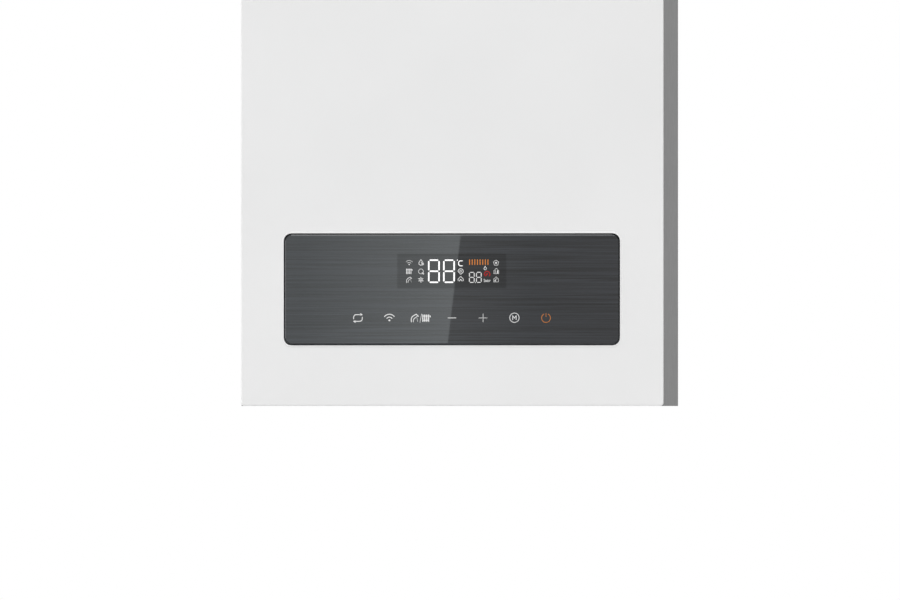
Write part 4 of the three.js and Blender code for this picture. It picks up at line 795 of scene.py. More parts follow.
DROP = ((0, 4.2), (1.9, 1.7), (2.9, -0.5), (2.3, -2.6), (0, -3.7), (-2.3, -2.6), (-2.9, -0.5),
        (-1.9, 1.7))
HOUSE = ((-3.3, -3.5), (-3.3, 0.6), (0, 3.9), (3.3, 0.6), (3.3, -3.5))
FLAME = ((0, 2.6), (1.3, 0.9), (1.7, -0.7), (0.9, -2.1), (-0.9, -2.1), (-1.7, -0.7), (-1.1, 0.7),
         (-0.5, 0.5))


def eight(pen, width, height, stroke, gap):
    """The figure 8 of a segment display, centred on the pen."""
    u, v = width / 2 - stroke / 2, height / 2 - stroke / 2
    for level in (-v, 0, v):
        pen.stroke([(gap - u, level), (u - gap, level)], stroke)
    for side in (-u, u):
        for middle in (-v / 2, v / 2):
            reach = v / 2 - gap
            pen.stroke([(side, middle - reach), (side, middle + reach)], stroke)


def wireless(pen, width):
    pen.dot(0, -2.3, 0.95)
    for radius in (3.2, 6.1):
        pen.arc(0, -2.3, radius, 38, 142, width)


def radiator(pen, width):
    for u in (-3.0, -1.0, 1.0, 3.0):
        pen.stroke([(u, -3.3), (u, 3.3)], width)
    for v in (-2.2, 2.2):
        pen.stroke([(-3.0, v), (3.0, v)], width * 0.8)
    pen.stroke([(3.0, 2.2), (4.7, 2.2), (4.7, 1.2)], width * 0.8)


def shower(pen, width):
    """A shower's bent arm, drawn by its outline, with its head and the falling water."""
    outer = smooth_line([(-3.5, -3.7), (-3.5, 1.1), (1.4, 3.9)], 3, 4)
    inner = smooth_line([(-1.5, -3.7), (-1.3, -0.9), (2.3, 1.7)], 3, 4)
    pen.stroke([*outer, Vector((3.5, 1.9))], width)
    pen.stroke(inner, width * 0.8)
    pen.stroke([(2.1, 0.2), (2.9, -3.4)], width * 0.35)


def loop(pen, width):
    """Two arrows that chase each other round a rounded rectangle."""
    upper = [(-4.3, -0.9), (-4.3, 1.2), (-3.3, 2.9), (-1.9, 3.3), (3.0, 3.3)]
    for turn in (1, -1):
        pen.stroke([(turn * u, turn * v) for u, v in upper], width)
        pen.shape([(turn * u, turn * v) for u, v in ((2.3, 5.0), (4.9, 3.2), (2.6, 2.3))])


def pin(pen, width=0.85):
    """A place marker: a round head that tapers to its point."""
    pen.stroke([*circle(3.5, range(-25, 206, 21), 0, 0.2), (0, -3.9)], width, closed=True)
    pen.ring(0, 0.3, 1.3, width * 0.8)


def pressure_word(pen, width=0.62):
    """The unit of the pressure gauge."""
    pen.stroke([(-4.0, 2.4), (-4.0, -1.3)], width)
    for u in (-2.9, 0.1):
        pen.ring(u, -0.2, 1.1, width, 16)
    for u in (1.25, 2.9):
        pen.stroke([(u, 0.9), (u, -1.3)], width)
    pen.arc(4.0, -0.3, 1.1, 150, 75, width, 5)


# ---- The front ----
def add_slab(bm, centre, width, height, radius, front, back, edge=0.0):
    """A rounded plate that faces -Y, with an optional ground front edge."""
    levels = [(0.0, back), (0.0, front + edge * EDGE_SLOPE)]
    if edge:
        levels.append((edge, front))
    rings = []
    for inset, y in levels:
        outline = rounded(width - 2 * inset, height - 2 * inset, max(radius - inset, 0.05 * MM))
        rings.append([bm.verts.new((centre[0] + u, y, centre[1] + v)) for u, v in outline])
    bm.faces.new(rings[0])
    bm.faces.new(rings[-1])
    skin(bm, rings)


class BOILER_OT_enamel(bpy.types.Operator):
    """Coat the front cover and the outer panels"""

    bl_idname = "boiler.enamel"
    bl_label = "Enamelled panels"

    def execute(self, context):
        dress("white_enamel", "front_cover")
        dress("grey_enamel", "left_side_panel", "right_side_panel", "top_panel")
        return {"FINISHED"}


class BOILER_OT_touch_glass(bpy.types.Operator):
    """Build the panel's printed glass with its ground edge and its display window"""

    bl_idname = "boiler.touch_glass"
    bl_label = "Touch glass"

    def execute(self, context):
        look = settings("boiler_panel")
        pane, window = bmesh.new(), bmesh.new()
        width, height = (size - 2 * look.clearance for size in (PANEL_WIDTH, PANEL_HEIGHT))
        add_slab(pane, (PANEL_X, PANEL_Z + PANEL_HEIGHT / 2), width, height, look.corner,
                 GLASS_FACE, GLASS_HIGH.y, look.edge_width)
        piece("glass_pane", pane, "dark_glass", "controls", replaces=("touch_glass",), sharp=20)
        middle = PANEL_Z + look.window_low + look.window_height / 2
        add_slab(window, (PANEL_X, middle), look.window_width, look.window_height, 0.6 * MM,
                 GLASS_FACE - 0.012 * MM, GLASS_FACE)
        piece("display_window", window, "display_window", "controls", slot="dark_glass")
        return {"FINISHED"}


class BOILER_OT_display(bpy.types.Operator):
    """Draw the lit digits and pictograms of the display"""

    bl_idname = "boiler.display"
    bl_label = "Display symbols"

    def execute(self, context):
        lit = Symbols()
        for u in (-17.75, -2.75):
            eight(lit.at(u, 72.7), 11.7, 23.4, 1.45, 1.5)
        lit.at(5.6, 83.7).dot(0, 0, 0.6, 8)
        lit.at(8.75, 80.5).stroke([(1.8, 2.45), (-0.7, 2.45), (-1.9, 1.3), (-1.9, -1.3),
                                   (-0.7, -2.45), (1.8, -2.45)], 0.8)
        lit.done("display_digits", "lit", "white_plastic")
        dim = Symbols()
        for u in (19.95, 26.95):
            eight(dim.at(u, 66.6), 5.6, 10.8, 0.85, 0.95)
        dim.at(23.5, 61.4).dot(0, 0, 0.5)
        pressure_word(dim.at(35.3, 63.2, 0.76))
        dim.at(33.2, 75.7, 0.75).stroke(FLAME, 0.7, closed=True)
        pin(dim.at(8.9, 72.5, 0.73))
        roof = [(-3.6, -2.4), (-3.6, 0), (0, 3.6), (3.6, 0), (3.6, -2.4)]
        dim.at(8.9, 64.9, 0.72).stroke(roof, 0.8)
        dim.stroke([(-2.0, -2.6), (0, -0.4), (2.0, -2.6)], 1.0)
        self.status_column(dim)
        self.mode_column(dim)
        dim.done("display_pictograms", "dim", "white_plastic")
        bars = Symbols()
        for i in range(8):
            bars.at(17.75 + 2.61 * i, 81.7).shape(rectangle(0.48, 2.7))
        bars.done("power_bars", "bars", "red_plastic")
        gauge = Symbols()
        gauge.at(35.2, 69.8, 0.92).arc(0, 0, 3.0, -40, 220, 1.1)
        gauge.stroke([(-2.0, -1.7), (0.3, 0.2)], 1.43)
        gauge.done("pressure_gauge_symbol", "gauge", "red_plastic")
        return {"FINISHED"}

    def status_column(self, pen):
        """The small pictograms left of the digits."""
        wireless(pen.at(-42.4, 80.9, 0.66), 0.55)
        radiator(pen.at(-42.75, 72.6, 0.74), 0.95)
        shower(pen.at(-42.4, 64.1, 0.72), 0.8)
        pen.at(-30.7, 81.2, 0.72).stroke(DROP, 0.75, closed=True)
        pen.stroke([(0.2, 1.0), (2.0, -1.2)], 0.7)
        pen.ring(2.4, -1.8, 1.4, 0.7, 16)
        pen.at(-30.6, 72.5, 0.74).ring(0, 0, 3.3, 0.6, 20)
        pen.stroke([(1.8, -2.0), (3.4, -3.4)], 1.5)
        pen.at(-30.7, 64.2, 0.7).ring(0, 0, 1.2, 0.7, 16)
        lean = math.degrees(0.35)
        for angle in even(6, 15):
            pen.stroke([*circle(2.1, [angle]), *circle(3.6, [angle + lean])], 1.0)

    def mode_column(self, pen):
        """The small pictograms right of the bars."""
        pen.at(44.1, 81, 0.72).stroke(circle(3.9, even(5, 90)), 0.55, closed=True)
        tips, notches = circle(2.0, even(5, 90)), circle(1.0, even(5, 126))
        pen.shape([point for pair in zip(tips, notches) for point in pair])
        pen.at(44.3, 72.8, 0.72).stroke(HOUSE, 0.5, closed=True)
        pen.stroke([(-1.5, -2.4), (-1.5, 0.8)], 0.7)
        pen.stroke([(1.7, -2.4), (1.7, 0.4)], 1.5)
        pen.at(44.1, 64.5, 0.7).stroke(HOUSE, 0.5, closed=True)
        pen.arc(0.5, -0.7, 1.5, 60, 250, 0.7, 8)
        pen.dot(-1.6, -1.9, 0.9, 10)


class BOILER_OT_touch_keys(bpy.types.Operator):
    """Draw the row of touch key symbols under the display"""

    bl_idname = "boiler.touch_keys"
    bl_label = "Touch keys"

    def execute(self, context):
        look = settings("boiler_panel")
        keys = Symbols()
        row = look.key_lift / MM
        columns = [0.15 + (i - 3) * look.key_pitch / MM for i in range(7)]
        loop(keys.at(columns[0] - 0.5, row + 0.05), 0.8)
        wireless(keys.at(columns[1] - 0.2, row), 0.85)
        shower(keys.at(columns[2] - 5.9, row - 0.1), 0.85)
        keys.at(columns[2], row).stroke([(-0.75, -4.2), (0.9, 4.2)], 0.42)
        radiator(keys.at(columns[2] + 4.95, row - 0.1, 0.96), 1.15)
        keys.at(columns[3], row + 0.1).stroke([(-4.0, 0), (4.0, 0)], 0.65)
        keys.at(columns[4], row + 0.1).stroke([(-4.1, 0), (4.1, 0)], 0.45)
        keys.stroke([(0, -4.1), (0, 4.1)], 0.45)
        keys.at(columns[5] + 0.2, row + 0.3).ring(0, 0, 4.65, 0.62)
        keys.stroke([(-1.75, -1.9), (-1.75, 1.9), (0, -0.4), (1.75, 1.9), (1.75, -1.9)], 0.75)
        keys.done("touch_key_symbols", "dim", "white_plastic")
        power_key = Symbols()
        power_key.at(columns[6] + 0.6, row).arc(0, 0, 4.4, 118, 422, 0.5, 28)
        power_key.stroke([(0, 1.3), (0, 4.6)], 0.5)
        power_key.done("power_symbol", "bars", "red_plastic")
        return {"FINISHED"}


# ---- Behind the front ----
# Axes of the large pieces, in millimetres: across, from the wall and above the casing's lower edge.
BURNER_X, BURNER_Z = 45, 545
FAN_X, FAN_Z = -112, 500
PUMP_X, PUMP_Z = 130, 198
FLUE_Y = -130
ROW_Y, ROW_Z = -115, 100
STUBS = (-130, -70, 70, 130)
CONDUIT_X, CONDUIT_Y = 202.6, -258


class BOILER_OT_sheet_metal(bpy.types.Operator):
    """Plate the rear panel, the bottom plate and the brackets, and screw them together"""

    bl_idname = "boiler.sheet_metal"
    bl_label = "Plated sheet metal"

    def execute(self, context):
        dress("galvanised", "wall_bracket", "rear_panel", "bottom_plate", "support_plate")
        dress("steel", "cover_catch_left", "cover_catch_right", "pivot_pin_left", "pivot_pin_right")
        for name, axis, spots in (
            ("rear_panel_screws", "-y", [(200, -3.3, z) for z in (60, 200, 340, 620, 715)]),
            ("support_plate_screws", "-y", [(199, -72.5, z) for z in (462, 628)]),
            ("top_panel_screws", "z", [(199, y, 740) for y in (-40, -150, -270)]),
            ("bottom_plate_screws", "-z", [(196, y, 48) for y in (-40, -225)]),
        ):
            fasteners(name, add_screw, both_sides(*spots), axis=axis)
        return {"FINISHED"}


class BOILER_OT_seals(bpy.types.Operator):
    """Finish the cover's sealing strip, the gaskets and the cable grommet"""

    bl_idname = "boiler.seals"
    bl_label = "Seals"

    def execute(self, context):
        dress("seal", "cover_seal")
        dress("rubber", "door_gasket", "flue_seal", "cable_grommet")
        return {"FINISHED"}


class BOILER_OT_control_box(bpy.types.Operator):
    """Finish the tipping control box, its boards and its screws"""

    bl_idname = "boiler.control_box"
    bl_label = "Control box"

    def execute(self, context):
        dress("grey_plastic", "control_box", "control_box_lid", edge=0.5 * MM)
        dress("black_plastic", "panel_frame", "ignition_transformer")
        dress("white_plastic", "terminal_block")
        dress("circuit", "display_board", "main_board")
        lid = both_sides((181, -240, 63), (181, -240, 177), (62, -240, 177), (62, -240, 63))
        fasteners("lid_screws", add_screw, lid, "controls", axis="y")
        return {"FINISHED"}


class BOILER_OT_burner(bpy.types.Operator):
    """Build the heat exchanger's drum and finish its burner door with bolts and sensors"""

    bl_idname = "boiler.burner"
    bl_label = "Heat exchanger and burner"

    def execute(self, context):
        look = settings("boiler_inside")
        dress("stainless", "burner_tube")
        drum = [(0, 0), (97, 0), (101.4, 1.8), (103, 6)]
        for start in (14, 49.3, 84.6):
            drum += [(103, start), (104.2, start + 1.2), (106, start + 5), (106, start + 7),
                     (104.2, start + 10.8), (103, start + 12)]
        drum += [(103, 132), (108, 132), (108, 140), (84, 140), (84, 122), (76, 114), (76, 20),
                 (0, 20)]
        flue = [(0, 30), (25.6, 30), (25.6, 55), (27.6, 55), (27.6, 0), (0, 0)]
        spigot = [(0, 1.5), (8.5, 1.5), (8.5, 0), (11, 0), (11, 36), (0, 36)]
        drain = [(0, 0), (11.4, 0), (12, 0.6), (12, 26), (0, 26)]
        turned_piece("exchanger_drum", [
            (drum, "-y", (BURNER_X, -72.8, BURNER_Z)), (flue, "z", (0, FLUE_Y, 620)),
            (spigot, "z", (110, -124.8, 445)), (spigot, "z", (-10, -124.8, 445)),
            (drain, "z", (BURNER_X, -190, 430)),
        ], "stainless", sides=80, replaces=("heat_exchanger",))
        rim = [(102.4, 0.4), (104.8, 0.4), (104.8, 5.3), (104, 6.1), (102.4, 6.1), (102.4, 0.4)]
        turned_piece("door_rim", [(rim, "-y", (BURNER_X, -216.4, BURNER_Z))], "cast_aluminium",
                     sides=96)
        dress("cast_aluminium", "burner_door", edge=0.6 * MM)
        dress("ceramic", "door_insulation", "ignition_electrode")
        bolts = around(BURNER_X, -222.4, BURNER_Z, 95, even(6, 30))
        fasteners("door_bolts", add_bolt, bolts, width=look.bolt_width)
        cap = [(0, 0), (11, 0), (11, 1.2), (8, 1.4), (8, 6.6), (7.2, 7.4), (0, 7.4)]
        turned_piece("overheat_thermostat", [(cap, "-y", (86, -222.4, 600))], "black_plastic")
        boot = [(0, 0), (6.4, 0), (6.4, 9), (5.6, 10), (5.6, 15), (4.4, 19), (3.6, 22), (0, 22)]
        turned_piece("electrode_boot", [(boot, "-y", (98.7, -249, 514))], "rubber")
        return {"FINISHED"}


class BOILER_OT_fan(bpy.types.Operator):
    """Finish the premix fan, the venturi and the gas valve, and build the motor and the silencer"""

    bl_idname = "boiler.fan"
    bl_label = "Fan and gas valve"

    def execute(self, context):
        dress("cast_aluminium", "fan_housing", "fan_back_plate", "venturi", "gas_valve",
              edge=0.5 * MM)
        dress("black_plastic", "fan_impeller")
        can = [(0, 26), (4.2, 26), (4.2, 0), (37, 0), (37, 6), (32, 6.6), (32, 11.4), (30.4, 12.6),
               (30.4, 16.4), (32, 17.6), (32, 28.4), (30.6, 31.6), (26, 33.6), (19, 34), (18, 33),
               (8, 33), (7, 34), (0, 34)]
        turned_piece("fan_motor_can", [(can, "-y", (FAN_X, -262.7, FAN_Z))], "black_plastic", 64,
                     [(26, 17, 3, (FAN_X, -262.7, 534.5), 8, 28)], replaces=("fan_motor",))
        elbow = [(FAN_X, y, z) for y, z in circle(34, range(-90, 1, 9), -154, 534)]
        bm = bmesh.new()
        add_tube(bm, [(FAN_X, -175.3, FAN_Z), *elbow, (FAN_X, -120, 655)], 26 * MM, 44, 0.5 * MM,
                 1, bore=23 * MM)
        shell = [(26.2, 566), (32, 566), (34, 568), *ribbed(34, -1, 580, 630, 10), (34, 641),
                 (32, 643), (26.2, 643), (26.2, 566)]
        add_parts(bm, [(shell, "z", (FAN_X, -120, 0))], 56)
        piece("silencer_tube", bm, "black_plastic", replaces=("air_silencer",), sharp=35)
        screws = around(FAN_X, -262.4, 503, 37.5, (60, 120, 240, 300))
        fasteners("fan_motor_screws", add_screw, screws, radius=2.6 * MM, height=1.8 * MM)
        return {"FINISHED"}


class BOILER_OT_flue(bpy.types.Operator):
    """Build the flue pipe and screw its adapter to the top panel"""

    bl_idname = "boiler.flue"
    bl_label = "Flue"

    def execute(self, context):
        dress("white_plastic", "flue_adapter")
        tube = [(28.5, 657), (30, 657), (30, 664), (31.3, 665), (31.3, 668), (30, 669), (30, 742.3),
                (28.5, 742.3), (28.5, 657)]
        turned_piece("flue_tube", [(tube, "z", (0, FLUE_Y, 0))], "white_plastic", sides=72,
                     replaces=("flue_pipe",))
        spots = [at(x, y, 745.6) for x, y in circle(62, even(4, 45), 0, FLUE_Y)]
        fasteners("flue_adapter_screws", add_screw, spots, axis="z")
        return {"FINISHED"}


class BOILER_OT_vessel(bpy.types.Operator):
    """Build the expansion vessel and lay its hose with crimped ends"""

    bl_idname = "boiler.vessel"
    bl_label = "Expansion vessel"

    def execute(self, context):
        half = [(0, 33), (58, 33), (62, 31.6), (68, 31.6), (72, 33), (140, 33), (150, 32.2),
                (158, 29.5), (163.4, 25), (165.4, 19), (165.6, 3.2), (168.6, 2.4)]
        shell = half + [(r, -h) for r, h in reversed(half)]
        port = [(0, 6), (4, 6), (4, 0), (8, 0), (8, 10), (7, 11), (7, 27), (0, 27)]
        valve = [(0, 0), (4, 0), (4, 16), (3.2, 17), (3.2, 18), (4, 18.6), (4, 23.4), (3.4, 24),
                 (0, 24)]
        turned_piece("vessel_shell", [(shell, "y", (0, -36.6, 480)), (port, "z", (50, -36.6, 300)),
                                      (valve, "z", (-120, -36.6, 590.4))], "red_enamel", sides=80,
                     replaces=("expansion_vessel",))
        bm = bmesh.new()
        add_tube(bm, [(50, -36.6, 299.7), (50, -36.6, 262), (190, -58.6, 262), (190, ROW_Y, ROW_Z),
                      (172.3, ROW_Y, ROW_Z)], 5.4 * MM, 20, 22 * MM, 10)
        piece("vessel_hose_tube", bm, "rubber", replaces=("vessel_hose",))
        ferrule = [(5.5, 0), (6.6, 0.6), (6.6, 3), (6.1, 4), (6.6, 5), (6.6, 9), (6.1, 10),
                   (5.5, 12)]
        turned_piece("hose_ferrules", [(ferrule, "-z", (50, -36.6, 299.4)),
                                       (ferrule, "x", (172.6, ROW_Y, ROW_Z))], "steel", sides=28)
        return {"FINISHED"}


class BOILER_OT_pipes(bpy.types.Operator):
    """Bend the copper pipes and fit their union nuts and threaded ends"""

    bl_idname = "boiler.pipes"
    bl_label = "Pipes"

    def execute(self, context):
        runs = {
            "flow": [(-10, -124.8, 444.7), (-10, -124.8, 400), (-100, ROW_Y, 362),
                     (-100, ROW_Y, 150.3)],
            "return": [(130, -124.8, 256.3), (130, -124.8, 312), (110, -124.8, 388),
                       (110, -124.8, 444.7)],
            "gas": [(0, ROW_Y, 46), (0, ROW_Y, 272), (FAN_X, -197.6, 281.4),
                    (FAN_X, -197.6, 317.4), (FAN_X, -197.6, 331.4)],
        }
        for name, route in runs.items():
            bm = bmesh.new()
            add_tube(bm, route, 8.85 * MM, 28, 26 * MM, 10)
            if name == "gas":
                add_parts(bm, [(sleeve(6, 9.8, 10, 50), "z", (0, ROW_Y, 0))])
            piece(name + "_tube", bm, "copper", replaces=(name + "_pipe",))
        bm = bmesh.new()
        for place, axis, width in (
            ((-10, -124.8, 444.5), "-z", 24), ((110, -124.8, 444.5), "-z", 24),
            ((-100, ROW_Y, 150.5), "z", 24), ((130, -124.8, 256.5), "z", 24),
            ((FAN_X, -197.6, 331.2), "-z", 24), ((0, ROW_Y, 50), "z", 26),
        ):
            add_nut(bm, at(*place), axis, width * MM, 12 * MM)
        for x in STUBS:
            add_nut(bm, at(x, ROW_Y, 50), "z", 32 * MM, 11 * MM)
        piece("union_nuts", bm, "brass", sharp=30)
        grooves = repeated([(13, 0.35), (13, 0.6), (12.1, 0.95)], 11, 50, 1.8)
        end = [(11.5, 10.4), (12.1, 11), *grooves, (12.1, 50), (11.5, 50), (11.5, 10.4)]
        turned_piece("threaded_ends", [(end, "z", (x, ROW_Y, 0)) for x in STUBS], "brass", sides=44)
        return {"FINISHED"}


class BOILER_OT_water_blocks(bpy.types.Operator):
    """Mould the two water blocks and finish the plate heat exchanger between them"""

    bl_idname = "boiler.water_blocks"
    bl_label = "Water blocks"

    def execute(self, context):
        dress("stainless", "plate_heat_exchanger")
        barrel = [(0, 58), (24, 58), (26, 60), *ribbed(26, 1.4, 93, 113, 10), (26, 163), (24, 166),
                  (13, 166), (13, 172), (0, 172)]
        base = [(0, 62), (17.5, 62), (20, 64), (20, 138), (21.5, 139), (21.5, 146), (20, 147),
                (18.8, 149.2), (17.5, 150)]
        column, guide = [*base, (0, 150)], [*base, (7.3, 150), (7.3, 119), (0, 119)]
        stub, port = sleeve(9, 11.5, 10, 64), [(0, 0), (12, 0), (12, 37), (0, 37)]
        front_ports = [([(0, 0), (r, 0), (r, 31), (r - 1, 33), (0, 33)], "-y", (x, ROW_Y, z))
                       for x, z, r in ((148, 100, 11), (114, 100, 7), (90, 84, 7.5))]
        top_port = ([(0, 100), (11, 100), (11, 149), (10, 150), (0, 150)], "z", (-100, ROW_Y, 0))
        for name, node, side, axis, outer, ports in (
            ("return_manifold", "return_block", 1, "x", column, front_ports),
            ("flow_manifold", "flow_block", -1, "-x", guide, [top_port]),
        ):
            parts = [(barrel, axis, (0, ROW_Y, ROW_Z)), (column, "z", (side * 70, ROW_Y, 0)),
                     (outer, "z", (side * 130, ROW_Y, 0))]
            parts += [(stub, "z", (side * x, ROW_Y, 0)) for x in (70, 130)]
            parts += [(port, "y", (side * 75, ROW_Y, z)) for z in (74, 126)]
            turned_piece(name, parts + ports, "black_plastic", sides=48, replaces=(node,))
        lid = [(0, 0), (15, 0), (15, 3), (13, 4), (13, 4.6), (0, 4.6)]
        turned_piece("block_end_caps", [(lid, "-x", (-172, ROW_Y, ROW_Z))], "black_plastic")
        return {"FINISHED"}


class BOILER_OT_pump(bpy.types.Operator):
    """Finish the circulation pump and build its motor with its bleed screw"""

    bl_idname = "boiler.pump"
    bl_label = "Pump"

    def execute(self, context):
        dress("grey_plastic", "pump_volute", edge=0.5 * MM)
        can = [(0, 48), (4.7, 48), (4.7, 0), (44, 0), (44, 6), (40, 10),
               *ribbed(40, 1.3, 16, 66, 7), (40, 72), (39, 75), (36, 76), (28, 76), (26, 80),
               (10, 80), (9.4, 79), (7.4, 79), (7, 79.8), (0, 79.8)]
        boxes = [(48, 24, 4, (PUMP_X, -150.3, 242), 14, 70),
                 (38, 15, 3, (PUMP_X, -150.3, 243), 69, 71.5)]
        turned_piece("pump_motor_can", [(can, "-y", (PUMP_X, -150.3, PUMP_Z))], "grey_plastic", 72,
                     boxes, replaces=("pump_motor",))
        dress("blue_plastic", "pump_impeller")
        bolts = around(PUMP_X, -156.3, PUMP_Z, 41.6, (35, 145, 215, 325))
        fasteners("pump_motor_bolts", add_bolt, bolts, width=5 * MM, height=3 * MM, washer=False)
        return {"FINISHED"}


class BOILER_OT_valves(bpy.types.Operator):
    """Finish the diverter, the flow sensor, the vent and the taps, and build the condensate trap"""

    bl_idname = "boiler.valves"
    bl_label = "Valves and sensors"

    def execute(self, context):
        dress("black_plastic", "diverter_actuator", "pressure_sensor", edge=0.4 * MM)
        dress("clear_plastic", "flow_sensor_body")
        dress("blue_plastic", "flow_turbine", "filling_knob", edge=0.4 * MM)
        dress("brass", "diverter_spindle", "filling_valve", "safety_valve", "air_vent")
        dress("red_plastic", "safety_valve_knob", edge=0.4 * MM)
        bottle = [(0, 205), (26, 205), (31, 207.5), (31, 211), (30.2, 212), (30.2, 214), (31, 215),
                  (31, 226.5), (29.5, 229), (28, 229.6), (28, 268), (28.8, 269), (28.8, 271),
                  (28, 272), (28, 312), (27, 317), (20, 327), (11, 334.5), (9, 338), (9, 414),
                  (10, 416.4), (12, 418), (12, 429.7), (0, 429.7)]
        arm = [(0, 0), (7.9, 0), (7.9, 7), (9.4, 7.6), (9.4, 12), (7.9, 12.6), (7.9, 16), (0, 16)]
        outlet = [(0, 50), (6, 50), (6, 16), (8, 16), (8, 300.5), (6.5, 302), (0, 302)]
        turned_piece("trap_bottle", [
            (bottle, "z", (BURNER_X, -190, 0)), (arm, "x", (5, -190, 294)),
            (outlet, "z", (5, -190, 0)),
        ], "grey_plastic", sides=56, replaces=("condensate_trap",))
        return {"FINISHED"}


class BOILER_OT_wiring(bpy.types.Operator):
    """Lay the two wiring conduits beside the control box and their branches"""

    bl_idname = "boiler.wiring"
    bl_label = "Wiring"

    # Branches: the height at which each leaves its conduit, after the points of its route.
    LEFT = (
        ([(-147.5, -280, 503), (-176, -280, 503), (-202.6, -266, 492)], 466),
        ([(-146.5, -215, 390), (-165, -222, 390), (-190, -246, 384)], 360),
        ([(-155.5, -115, 190), (-170, -120, 196), (-196, -190, 214)], 200),
        ([(70, -128.8, 172), (70, -146, 170), (60, -190, 143), (20, -228, 132),
          (-150, -228, 128), (-190, -244, 126)], 112),
    )
    RIGHT = (
        ([(98.7, -268, 514), (98.7, -280, 505), (120, -282, 480), (196, -272, 476)], 466),
        ([(86, -229.5, 600), (88, -236, 596), (150, -262, 560), (196, -270, 510)], 466),
        ([(173.5, -196, 204), (186, -204, 206), (198, -240, 216)], 200),
        ([(114, -180, 100), (114, -192, 104), (120, -200, 138), (165, -206, 142),
          (192, -236, 146)], 130),
    )
    PLUGS = (
        ((-146, -280, 503), "-x", 15, 9, 13),
        ((-145.5, -215, 390), "-x", 15, 9, 13),
        ((-155, -115, 190), "-x", 15, 9, 13),
        ((173, -196, 204), "x", 15, 9, 13),
        ((114, -179.5, 100), "-y", 11, 9, 10),
        ((70, -128.5, 172), "-y", 9, 8, 9),
    )

    def execute(self, context):
        low, reach, pitch = 50, 420, 2.6
        ridges = repeated([(4.9, 0), (4.9, 0.45), (4.3, 0.55), (4.3, 0.95)], 8, reach - 4, pitch)
        wall = [(0, 0), (5.4, 0), (5.4, 8), *ridges, (5, reach - 3), (5, reach), (0, reach)]
        for side, name in ((-1, "left_conduit"), (1, "right_conduit")):
            turned_piece(name, [(wall, "z", (side * CONDUIT_X, CONDUIT_Y, low))], "black_plastic",
                         sides=16)
        radius = settings("boiler_inside").cable_width / 2
        for name, side, branches, finish_name, slot in (
            ("left_branches", -1, self.LEFT, "black_plastic", None),
            ("right_branches", 1, self.RIGHT, "red_cable", "red_plastic"),
        ):
            bm = bmesh.new()
            for route, height in branches:
                end = (side * CONDUIT_X, CONDUIT_Y, height)
                add_tube(bm, [*route, end], radius, 14, 14 * MM, 6)
            piece(name, bm, finish_name, slot=slot)
        plugs, ties = bmesh.new(), bmesh.new()
        for place, *sizes in self.PLUGS:
            add_plug(plugs, at(*place), *sizes)
        piece("cable_plugs", plugs, "white_plastic", sharp=30)
        for side in (-1, 1):
            for z in (150, 240, 330, 420):
                add_tie(ties, (side * CONDUIT_X, CONDUIT_Y, z))
        piece("cable_ties", ties, "black_plastic", sharp=30)
        return {"FINISHED"}


# ---- Stage ----
AIM_X, AIM_Z = -1.76, 105.3   # mm: where the camera looks, from the middle and the lower edge
FLOOR_RINGS = (0, 1.6, 2.6)
FLOOR_FADE = (1.1, 2.5)   # metres from the middle over which the floor thins out to nothing
LAMPS = (   # name, place from the casing's middle, width and height
    ("front", (0.3, -3.8, 3.2), 2.2, 1.6),
    ("right", (3.2, -0.1, 0.2), 1.6, 2.4),
    ("left", (-3.2, 0.1, 0.2), 1.6, 2.4),
    ("top", (0, -0.3, 3.0), 2.4, 2.0),
)
# The mirrored glare ends on a slanted line over the glass. Its ends, and those of the cards, are
# in millimetres from the middle of the glass's lower edge.
GLARE_LINE = ((-4.1, 0.4), (9.1, 110.5))
CARD_LOW, CARD_HIGH = -200, 310.5
CARD_MIDDLE = 55
EDGE_CARD_REACH, EDGE_CARD_HALF = 0.45, 0.2   # half the length and half the width, in metres


def lamp(name, place, target, width, height, energy):
    """A soft box that lights the object from one side."""
    data = bpy.data.lights.new(name, "AREA")
    data.shape, data.size, data.size_y, data.energy = "RECTANGLE", width, height, energy
    made = bpy.data.objects.new(name, data)
    bpy.context.scene.collection.objects.link(made)
    made.location = place
    made.rotation_euler = (target - place).to_track_quat("-Z", "Y").to_euler()


def white_world(level):
    """White for what is seen or mirrored, and an even, weaker light on matt surfaces."""
    world = bpy.data.worlds.new("studio")
    bpy.context.scene.world = world
    world.use_nodes = True
    made = Nodes(world.node_tree)
    made.tree.nodes.clear()
    rays = made.node("ShaderNodeLightPath").outputs
    seen = made.node("ShaderNodeMath", operation="ADD")
    also = made.node("ShaderNodeMath", operation="ADD", use_clamp=True)
    white, soft = (made.node("ShaderNodeBackground", Color=(1, 1, 1, 1), strength=strength)
                   for strength in (1.0, level))
    either, out = made.node("ShaderNodeMixShader"), made.node("ShaderNodeOutputWorld")
    for source, target in (
        (rays["Is Camera Ray"], seen.inputs[0]),
        (rays["Is Glossy Ray"], seen.inputs[1]),
        (seen.outputs[0], also.inputs[0]),
        (rays["Is Transmission Ray"], also.inputs[1]),
        (also.outputs[0], either.inputs[0]),
        (soft.outputs[0], either.inputs[1]),
        (white.outputs[0], either.inputs[2]),
        (either.outputs[0], out.inputs["Surface"]),
    ):
        made.link(source, target)


def stage_piece(name, mesh, material):
    """A piece of the stage, which isn't part of the object."""
    made = shown(name, mesh, material)
    return made


